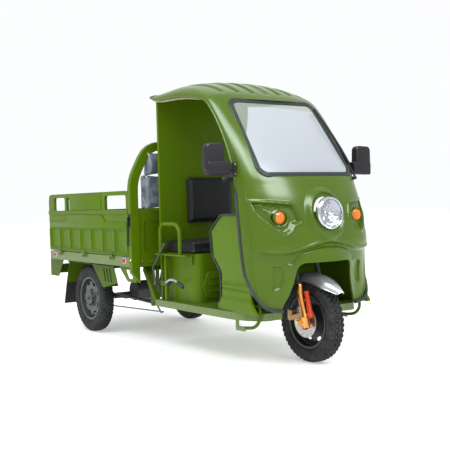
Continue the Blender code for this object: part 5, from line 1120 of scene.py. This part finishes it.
# ---- Rubber edging and rolled lip of the front moulding
def front_edge(side):
    """Edge of the moulding from the roof joint down its side, round the foot and to the wheel arch."""
    rows = FRONT_CURVE[(FRONT_CURVE[:, 0] < SPLIT_Z - 0.02) & (FRONT_CURVE[:, 0] > 0.540)]
    down = np.stack([rows[:, 3] - 0.001, rows[:, 2], rows[:, 0]], axis=1)
    foot = leg_foot[::-1]
    round_foot = np.stack([foot[:, 0], fascia_depth(*foot.T), foot[:, 1]], axis=1)[1:]
    path = np.concatenate([down, round_foot])
    path[:, 1] += 0.004
    eased(path, 6)
    path[:, 0] *= side
    return path


def rolled_lip(side):
    """The edge line moved 13 mm inward and laid on the moulding's surface."""
    path = front_edge(1.0)
    along = np.gradient(path[:, [0, 2]], axis=0)
    along /= np.linalg.norm(along, axis=1, keepdims=True)
    x, z = path[:, 0] + 0.013 * along[:, 1], path[:, 2] - 0.013 * along[:, 0]
    y = fascia_depth(x, z) - front_relief(x, z) + 0.0015
    laid = np.stack([side * x, y, z], axis=1)
    eased(laid, 4)
    return laid[4:]


LIP = [(-0.0085, -0.0090), (0.0085, -0.0090), (0.0095, -0.0060), (0.0090, 0.0060), (0.0060, 0.0090),
       (-0.0060, 0.0090), (-0.0090, 0.0060), (-0.0095, -0.0060)]
for side_name, side in RIGHT_LEFT:
    for label, path, section, look in (("edging", front_edge(side), LIP, RUBBER),
                                       ("rolled_lip", rolled_lip(side), ring_section(0.0042), PAINT)):
        mounted(swept_piece(f"fascia_{label}_{side_name}", path, section, look, up=(0.0, -1.0, 0.15)))


# ---- Leg shield sides: a shield-shaped rise, two ribs and a flared foot over the plain side wall
FAIRING_Z = [0.3303, 0.3640, 0.3850, 0.5600, 0.6550, 0.8100, 0.9130]
FAIRING_REAR = [-0.820, -0.820, -0.858, -0.862, -0.760, -0.740, -0.880]


def fairing_rear(z):
    """Rear edge y of the leg shield at a height, its corners eased."""
    heights = np.linspace(FAIRING_Z[0], FAIRING_Z[-1], 240)
    edge = np.interp(heights, FAIRING_Z, FAIRING_REAR)
    eased(edge, 9)
    return np.interp(z, heights, edge)


def fairing_wall(y, stand):
    """Distance from the middle of the leg shield's plain side wall, which narrows forward."""
    return stand + 0.043 * (y + 0.740) / -0.450


def fairing_side(side):
    """Side skin: x is the wall's own plus rises, over rows of height and columns front to rear."""
    z = np.linspace(0.3310, 0.9125, 110)[:, None]
    t = np.linspace(0.0, 1.0, 64)[None, :]
    rear = fairing_rear(z) - 0.001
    front = np.interp(z, FRONT_CURVE[::-1, 0], FRONT_CURVE[::-1, 2]) + 0.008
    y = front + (rear - front) * t
    z = np.broadcast_to(z, y.shape)
    wall = fairing_wall(y, 0.395)
    shield = ramp(rear - y, 0.004, 0.055) * ramp(z, 0.545, 0.640) * ramp(0.915 - z, 0.0, 0.060)
    neck = ramp(rear - y, 0.002, 0.030) * ramp(0.640 - z, 0.0, 0.095)
    foot = ramp(0.420 - z, 0.0, 0.022)
    rise = 0.0010 + 0.019 * shield + 0.010 * neck + 0.011 * foot * ramp(rear - y, 0.0, 0.012)
    rise = rise + 0.0085 * bell(z - 0.497, 0.011) * neck - 0.007 * bell(z - 0.462, 0.010) * neck
    ridge = bell((y + 0.800) - (z - 0.700) * 0.55, 0.016) * ramp(z, 0.72, 0.80)
    rise = rise + 0.004 * ridge * shield
    return np.stack([side * (wall + rise), y, z], axis=2), np.stack([side * wall, y, z], axis=2)


for side_name, side in RIGHT_LEFT:
    mounted(skin_piece(f"leg_shield_side_{side_name}", *fairing_side(side), PANEL, 34.0))
    z = np.linspace(0.336, 0.9120, 90)
    edge_y, top_y = fairing_rear(z), np.linspace(-0.885, -1.085, 12)
    edge = np.stack([side * fairing_wall(edge_y, 0.400), edge_y, z], axis=1)
    top = np.stack([side * fairing_wall(top_y, 0.400), top_y, np.full(12, 0.9135)], axis=1)
    path = np.concatenate([edge, top])
    eased(path, 4)
    mounted(swept_piece(f"leg_shield_edging_{side_name}", path, np.array(LIP) * 0.62, RUBBER,
                        up=(float(side), 0.0, 0.0)))


# ---- Mirrors: head, base, pane, arm, clamp and screws
SCREW = [(0.0, -0.0035), (0.0038, -0.0030), (0.0052, -0.0008), (0.0052, 0.003), (0.0, 0.003)]
for side_name, side in RIGHT_LEFT:
    node = f"mirror_{side_name}"
    low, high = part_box(node)
    outer = max(abs(low.x), abs(high.x))
    y0, y1, foot, top = low.y, high.y, low.z, high.z
    head = [(0.528, 1.160), (outer - 0.001, 1.163), (outer - 0.003, top - 0.004), (0.536, top)]
    base = [(0.497, foot + 0.008), (outer - 0.010, foot + 0.004), (outer - 0.008, 1.226), (0.497, 1.232)]
    pane = [(0.541, 1.185), (outer - 0.012, 1.187), (outer - 0.013, top - 0.016), (0.548, top - 0.012)]
    # Label, corners, corner radius, front, back, finish, edge radius, steps of the edge
    for label, corners, turn, front, back, look, soft, steps in (
            ("head", head, 0.030, y0 + 0.004, y1 - 0.003, PLASTIC, 0.009, 4),
            ("base", base, 0.012, y0 - 0.004, y1 - 0.012, PLASTIC, 0.006, 3),
            ("pane", pane, 0.022, y1 - 0.0035, y1 - 0.0015, MIRROR, 0.0006, 2)):
        outline = rounded_outline([(side * x, z) for x, z in corners][::int(side)], turn, 8)
        plate = plate_piece(f"mirror_{label}_{side_name}", outline, "Y", front, back, look, soft)
        plate.modifiers["round"].segments = steps
        mounted(plate, "tricycle", node)
    arm_path = smooth_path([(side * 0.452, y0 + 0.026, 1.182), (side * 0.476, y0 + 0.024, 1.183),
                            (side * 0.505, y0 + 0.026, 1.186)], 6)
    arm = swept_piece(f"mirror_arm_{side_name}", arm_path, ring_section(0.0105, 20), PLASTIC)
    near, far = sorted((side * 0.4485, side * 0.468))
    clamp = box_piece(f"mirror_clamp_{side_name}", (near, y0 + 0.006, 1.142), (far, y0 + 0.050, 1.222),
                      PLASTIC, 0.004)
    for piece in (arm, clamp):
        mounted(piece, "tricycle", node)
    for k, z in enumerate((1.154, 1.210)):
        mounted(turned_piece(f"mirror_screw_{side_name}_{k}", SCREW, (side * 0.4585, y0 + 0.006, z), "Y",
                             CHROME, 20, 50))


# ---- Small trims: seats found on the solids, bolts and plates
bpy.context.view_layer.update()


def seated(node, start, toward):
    """First place where a line from a start meets a carried-over solid."""
    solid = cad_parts[node]
    tree = BVHTree.FromObject(solid, bpy.context.evaluated_depsgraph_get())
    inverse = solid.matrix_world.inverted()
    place = tree.ray_cast(inverse @ Vector(start), (inverse.to_3x3() @ Vector(toward)).normalized())[0]
    return None if place is None else solid.matrix_world @ place


def bolt_piece(name, place, axis, sign):
    """Domed bolt head on a washer that stands on a face."""
    size = 0.0075
    profile = [(0.0, 0.75), (0.55, 0.62), (0.72, 0.25), (1.0, 0.22), (1.05, -0.10), (0.0, -0.10)]
    mounted(turned_piece(name, [(r * size, sign * a * size) for r, a in profile], place, axis, ZINC, 20, 40))


def flat_plate(name, outline, axis, low, high, look, round_by, body="tricycle", node=None):
    """Plate between two levels, given in either order, that rides on a body."""
    plate = plate_piece(name, outline, axis, min(low, high), max(low, high), look, round_by)
    mounted(plate, body, node)


def rod_piece(name, path, radius, look, body="tricycle", scale=None):
    """Round rod along a smoothed path."""
    mounted(swept_piece(name, smooth_path(path, 6), ring_section(radius, 16), look, up=(1.0, 0.0, 0.0),
                        scale=scale), body)


def rectangle(a, b, c, d, radius=0.004):
    """Rounded rectangle between two places across, in either order, and from c to d up."""
    a, b = sorted((a, b))
    return rounded_outline([(a, c), (b, c), (b, d), (a, d)], radius, 4)


# ---- Roof: rolled flange round its edge and the cream liner inside it
edge_grid = roof_grid(0.0)
flange_path = np.concatenate([edge_grid[::-1, 0], edge_grid[0, 3:-3], edge_grid[:, -1]])
eased(flange_path, 5)
mounted(swept_piece("roof_flange", flange_path, ring_section(0.0068), PAINT, up=(0.0, 0.3, 1.0)))
STRIP = [(-0.011, -0.007), (0.011, -0.007), (0.008, 0.006), (-0.008, 0.006)]
for side_name, side in RIGHT_LEFT:
    rows = ROOF_CURVE[(ROOF_CURVE[:, 2] < -0.10) & (ROOF_CURVE[:, 2] > -0.70)]
    path = np.stack([side * (rows[:, 4] - 0.020), rows[:, 2], rows[:, 3] - 0.006], axis=1)
    mounted(swept_piece(f"liner_strip_{side_name}", path, STRIP, LINER))


# ---- Fork and handlebar: legs, seals, axle nuts, reservoir caps, brake hose and grips
RAKE = math.radians(15.2)
FORK_Y, FORK_Z = -1.172, 0.518  # a place on the steering axis, level with the lower yoke
LEG_X, LEG_LEAD, RESERVOIR_LEAD = 0.088, 0.036, 0.091


def fork_place(x, lead, rise):
    """Place beside the steering axis: across, ahead of it and up along it."""
    return (x, FORK_Y - lead * math.cos(RAKE) + rise * math.sin(RAKE),
            FORK_Z + lead * math.sin(RAKE) + rise * math.cos(RAKE))


def fork_turned(name, x, lead, look, profile, sides):
    """Round piece along the fork: (rise, radius) pairs beside the steering axis."""
    path = [fork_place(x, lead, rise) for rise, _ in profile]
    mounted(swept_piece(name, path, ring_section(1.0, sides), look, up=(1.0, 0.0, 0.0),
                        scale=[r for _, r in profile], sharp=30), "steering")


LEG = [(-0.3155, 0.0190), (-0.3150, 0.0214), (-0.262, 0.0216), (-0.258, 0.0228), (-0.246, 0.0228),
       (-0.242, 0.0214), (-0.150, 0.0214), (-0.146, 0.0224), (-0.090, 0.0224), (-0.086, 0.0238),
       (-0.050, 0.0240), (-0.044, 0.0215)]
LEG_SEAL = [(-0.046, 0.0236), (-0.044, 0.0244), (-0.034, 0.0240), (-0.031, 0.0190)]
AXLE_NUT = [(0.0, 0.034), (0.009, 0.034), (0.0125, 0.030), (0.0125, 0.018), (0.016, 0.0175), (0.016, 0.008),
            (0.0, 0.008)]
RESERVOIR_CAP = [(-0.118, 0.0142), (-0.116, 0.0156), (-0.104, 0.0156), (-0.100, 0.0100)]
for side_name, side in RIGHT_LEFT:
    x = side * LEG_X
    fork_turned(f"fork_leg_{side_name}", x, LEG_LEAD, GOLD, LEG, 40)
    fork_turned(f"fork_seal_{side_name}", x, LEG_LEAD, RUBBER, LEG_SEAL, 36)
    mounted(turned_piece(f"axle_nut_{side_name}", sided(side, AXLE_NUT), (x, *FRONT_HUB[1:]), "X", ZINC, 24),
            "steering")
    fork_turned(f"reservoir_cap_{side_name}", x, RESERVOIR_LEAD, RED, RESERVOIR_CAP, 32)
rod_piece("brake_hose", [(-0.070, -1.125, 0.312), (-0.098, -1.100, 0.360), (-0.112, -1.110, 0.450),
                         (-0.100, -1.115, 0.560), (-0.060, -1.090, 0.680)], 0.0042, RUBBER, "steering")
for side_name, side in RIGHT_LEFT:
    start, end = np.array([side * 0.2544, -0.9204, 1.1458]), np.array([side * 0.3680, -0.8447, 1.1288])
    share = np.linspace(0.0, 1.0, 49)
    waves = 0.0174 + 0.0009 * np.sin(share * 2 * np.pi * 16) ** 2 + 0.0030 * bell(share - 0.01, 0.04)
    mounted(swept_piece(f"grip_{side_name}", start + share[:, None] * (end - start), ring_section(1.0, 24),
                        RUBBER, scale=waves), "steering")


# ---- Rear wheels: brake drums behind the wheel openings
DRUM = [(0.050, -0.014), (0.124, -0.014), (0.131, -0.020), (0.131, -0.044), (0.122, -0.048), (0.050, -0.048),
        (0.050, -0.014)]
for side_name, side in RIGHT_LEFT:
    mounted(turned_piece(f"brake_drum_{side_name}", sided(side, DRUM), REAR_HUB[side_name], "X", STEEL, 72),
            f"rear_wheel_{side_name}")


# ---- Drop sides and tailgate: ribs, ledge, bare name plate, foot, side reflectors and bolts
SIDE_FACE, TAIL_FACE, FIELD_FOOT = 0.5586, 1.4236, 0.652


def field_ribs(name, places, axis, face, sign, body, top):
    """Raised bars between the pressed fields."""
    for k, place in enumerate(places):
        a, b = place - 0.016, place + 0.016
        flat_plate(f"{name}_{k}", [(a, FIELD_FOOT), (b, FIELD_FOOT), (b, top), (a, top)], axis, face,
                   face + sign * 0.0065, PANEL, 0.0045, body)


LEDGE = [(1.404, 0.822), (1.404, 0.866), (1.072, 0.866), (1.036, 0.921), (0.446, 0.921), (0.386, 0.866),
         (0.062, 0.866), (0.062, 0.822)]
PLATE = rectangle(0.452, 0.984, 0.962, 1.078, 0.010)
FOOT = [(1.415, 0.632), (1.415, 0.643), (0.048, 0.643), (0.048, 0.632)]
for side_name, side in RIGHT_LEFT:
    body = f"drop_side_{side_name}"
    face = side * SIDE_FACE
    field_ribs(f"side_rib_{side_name}", [0.0705 + 0.1906 * k for k in range(8)], "X", face, side, body, 0.810)
    # Label, outline, how far it stands out, edge radius
    for label, outline, stand, soft in (
            ("ledge", LEDGE, 0.0070, 0.0048), ("name_plate", PLATE, 0.0040, 0.0016),
            ("foot", FOOT, 0.0075, 0.0030)):
        flat_plate(f"side_{label}_{side_name}", outline, "X", face, face + side * stand, PANEL, soft, body)
    inward = (-side, 0.0, 0.0)
    for k, y in enumerate((1.322, 0.120)):
        front = seated("bed_floor", (side * 0.70, y, 0.590), inward).x
        for label, grow, stand, look in (("_rim", 0.004, 0.0040, WHITE_LENS), ("", 0.0, 0.0056, RED_LENS)):
            outline = rectangle(y - 0.023 - grow, y + 0.023 + grow, 0.579 - grow, 0.607 + grow)
            flat_plate(f"side_reflector{label}_{side_name}_{k}", outline, "X", front - side * 0.001,
                       front + side * stand, look, 0.0012)
    for k, y in enumerate((0.050, 0.010)):
        place = seated("bed_hoop", (side * 0.70, y, 0.602), inward)
        if place is not None:
            bolt_piece(f"hoop_bolt_{side_name}_{k}", place, "X", side)
    for k, x in enumerate((0.530, 0.480, 0.400, 0.300)):
        place = seated("bed_front_panel", (side * x, -0.30, 0.590), (0.0, 1.0, 0.0))
        if place is not None and place.y > -0.05:
            bolt_piece(f"front_bolt_{side_name}_{k}", place, "Y", -1)
field_ribs("tail_rib", [-0.502 + 0.2008 * k for k in range(6)], "Y", TAIL_FACE, 1, "drop_tailgate", 0.850)


# ---- Tail lamps: housing with a red and an amber lens
for side_name, side in RIGHT_LEFT:
    node = f"tail_lamp_{side_name}"
    low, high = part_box(node)
    a, b = (low.x, high.x) if side > 0 else (high.x, low.x)
    part = a + (b - a) * 0.36
    # Label, inner end, outer end, inset, back, finish, edge radius
    for label, start, end, inset, back, look, soft in (
            ("housing", a, b, 0.0, high.y - 0.006, PLASTIC, 0.004),
            ("amber", a + side * 0.004, part - side * 0.001, 0.004, high.y, AMBER, 0.003),
            ("red", part + side * 0.001, b - side * 0.004, 0.004, high.y, RED_LENS, 0.003)):
        flat_plate(f"tail_lamp_{label}_{side_name}",
                   rectangle(start, end, low.z + inset, high.z - inset, 0.008), "Y",
                   low.y + 0.0005, back, look, soft, node=node)


# ---- Seat box press marks, brake pedal, front step bars
PRESS = [(0.185, 0.345), (0.318, 0.362), (0.338, 0.450), (0.300, 0.538), (0.185, 0.534)]
STEP_BAR = [(0.405, -1.020, 0.232), (0.405, -1.110, 0.238), (0.405, -1.185, 0.252), (0.404, -1.228, 0.288),
            (0.400, -1.236, 0.335), (0.396, -1.226, 0.395)]
for side_name, side in RIGHT_LEFT:
    corners = [(side * x, z) for x, z in PRESS][::int(side)]
    flat_plate(f"seat_box_press_{side_name}", rounded_outline(corners, 0.030, 6), "Y", -0.5560, -0.5470,
               PANEL, 0.0060)
    for k, z in enumerate((0.405, 0.450, 0.495)):
        outline = rectangle(side * 0.205, side * 0.292, z - 0.007, z + 0.007)
        flat_plate(f"seat_box_rib_{side_name}_{k}", outline, "Y", -0.5610, -0.5550, PANEL, 0.0035)
    rod_piece(f"step_bar_{side_name}", [(side * x, y, z) for x, y, z in STEP_BAR], 0.0100, FRAME_PAINT)
BOSS = [(0.0, 0.020), (0.012, 0.020), (0.017, 0.014), (0.017, -0.014), (0.0, -0.014)]
mounted(turned_piece("pedal_boss", BOSS, (-0.452, -0.285, 0.456), "X", STEEL, 32, 40))
rod_piece("pedal_arm", [(-0.460, -0.285, 0.458), (-0.460, -0.330, 0.480), (-0.458, -0.385, 0.480),
                        (-0.456, -0.440, 0.464)], 0.0085, POLISHED)
rod_piece("pedal_rubber", [(-0.457, -0.425, 0.468), (-0.456, -0.455, 0.456), (-0.455, -0.490, 0.438)], 0.0150,
          RUBBER, scale=[0.6, 0.85] + [1.0] * 9 + [0.9, 0.6])


# ---- Finishes of the solids that stay as they are
KEPT = {
    PANEL: ["cab_rear_wall", "seat_box", "inner_fairing", "bed_hoop", "bed_front_panel",
            "grab_rail_right", "grab_rail_left", "side_panel_right", "side_panel_left", "tailgate"],
    FRAME_PAINT: ["chassis_frame", "rear_beam", "mudguard_right", "mudguard_left"],
    DECK: ["bed_floor", "cab_floor"],
    PLASTIC: ["wiper", "battery_pack", "handlebar", "latch_right", "latch_left"],
    STEEL: ["parking_lever", "brake_rod", "rear_axle", "leaf_spring_right", "leaf_spring_left", "fork_yokes"],
    FLAP: ["mud_flap_right", "mud_flap_left"],
    GOLD: ["fork_sliders"],
    RED: ["fork_reservoir_right", "fork_reservoir_left"],
    BRONZE: ["brake_caliper"],
}
for look, names in KEPT.items():
    for name in names:
        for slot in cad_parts[name].material_slots:
            slot.material = look.material


# ---- Floor, light and camera
floor_look = Finish("studio_floor", (0.90, 0.90, 0.90), 0.65)
floor_shade = floor_look.blend((0.90, 0.90, 0.905), (0.92, 0.92, 0.92), floor_look.noise(0.8))
floor_look.set("Base Color", floor_shade)
floor_look.set("Emission Color", floor_shade)
floor_look.set("Emission Strength", 0.36)
floor = plate_piece("studio_floor", [(-30.0, -30.0), (30.0, -30.0), (30.0, 40.0), (-30.0, 40.0)], "Z",
                    -0.02, 0.0, floor_look, 0)

world = bpy.data.worlds.new("studio")
bpy.context.scene.world = world
world.use_nodes = True
backdrop = world.node_tree.nodes["Background"]
backdrop.inputs["Color"].default_value = (0.98, 0.99, 1.0, 1.0)
backdrop.inputs["Strength"].default_value = 1.0


def soft_light(name, place, aim, size, power, shade, gloss_only=False):
    """Large rectangular lamp at a place, turned to face a point; a card only shows as a gleam on gloss."""
    lamp = bpy.data.lights.new(name, "AREA")
    lamp.shape, lamp.size, lamp.size_y = "RECTANGLE", size[0], size[1]
    lamp.energy, lamp.color = power, shade
    holder = bpy.data.objects.new(name, lamp)
    holder.location = place
    holder.rotation_euler = (Vector(aim) - Vector(place)).to_track_quat("-Z", "Y").to_euler()
    holder.visible_diffuse = not gloss_only
    bpy.context.scene.collection.objects.link(holder)


soft_light("side_panel", (-3.2, -1.0, 4.6), (0.0, -0.6, 1.1), (2.7, 1.7), 95.0, (0.97, 0.99, 1.0))
soft_light("front_panel", (0.2, -5.0, 4.5), (0.0, -1.2, 0.9), (2.4, 1.5), 110.0, (0.97, 0.99, 1.0))
soft_light("roof_panel", (2.0, 1.6, 4.6), (0.0, -0.3, 1.5), (3.2, 2.4), 10.0, (0.94, 0.98, 1.0))
soft_light("sky_card", (-1.9, -1.7, 4.4), (-0.4, -1.1, 1.3), (2.6, 2.0), 250.0, (0.88, 0.95, 1.0), True)
soft_light("front_card", (-0.1, -4.9, 4.4), (-0.1, -1.3, 1.0), (3.2, 1.5), 210.0, (0.90, 0.96, 1.0), True)
soft_light("corner_card", (-1.5, -3.4, 4.5), (-0.4, -1.2, 1.1), (2.4, 1.8), 170.0, (0.89, 0.96, 1.0), True)

LENS_PLACE = Vector((-3.2273, -4.9152, 0.9979))
YAW, PITCH, ROLL = (math.radians(a) for a in (35.188, -1.73, -1.5872))
ahead = Vector((math.sin(YAW) * math.cos(PITCH), math.cos(YAW) * math.cos(PITCH), math.sin(PITCH)))
level = Vector((math.cos(YAW), -math.sin(YAW), 0.0))
rise = level.cross(ahead)
right = level * math.cos(ROLL) + rise * math.sin(ROLL)
up = rise * math.cos(ROLL) - level * math.sin(ROLL)
view = bpy.data.cameras.new("photo_camera")
view.sensor_width, view.lens = 36.0, 64.0
camera = bpy.data.objects.new("photo_camera", view)
columns = [(*right, 0.0), (*up, 0.0), (*-ahead, 0.0), (*LENS_PLACE, 1.0)]
camera.matrix_world = Matrix(columns).transposed()
bpy.context.scene.collection.objects.link(camera)
bpy.context.scene.camera = camera
bpy.context.scene.view_settings.view_transform = "Standard"
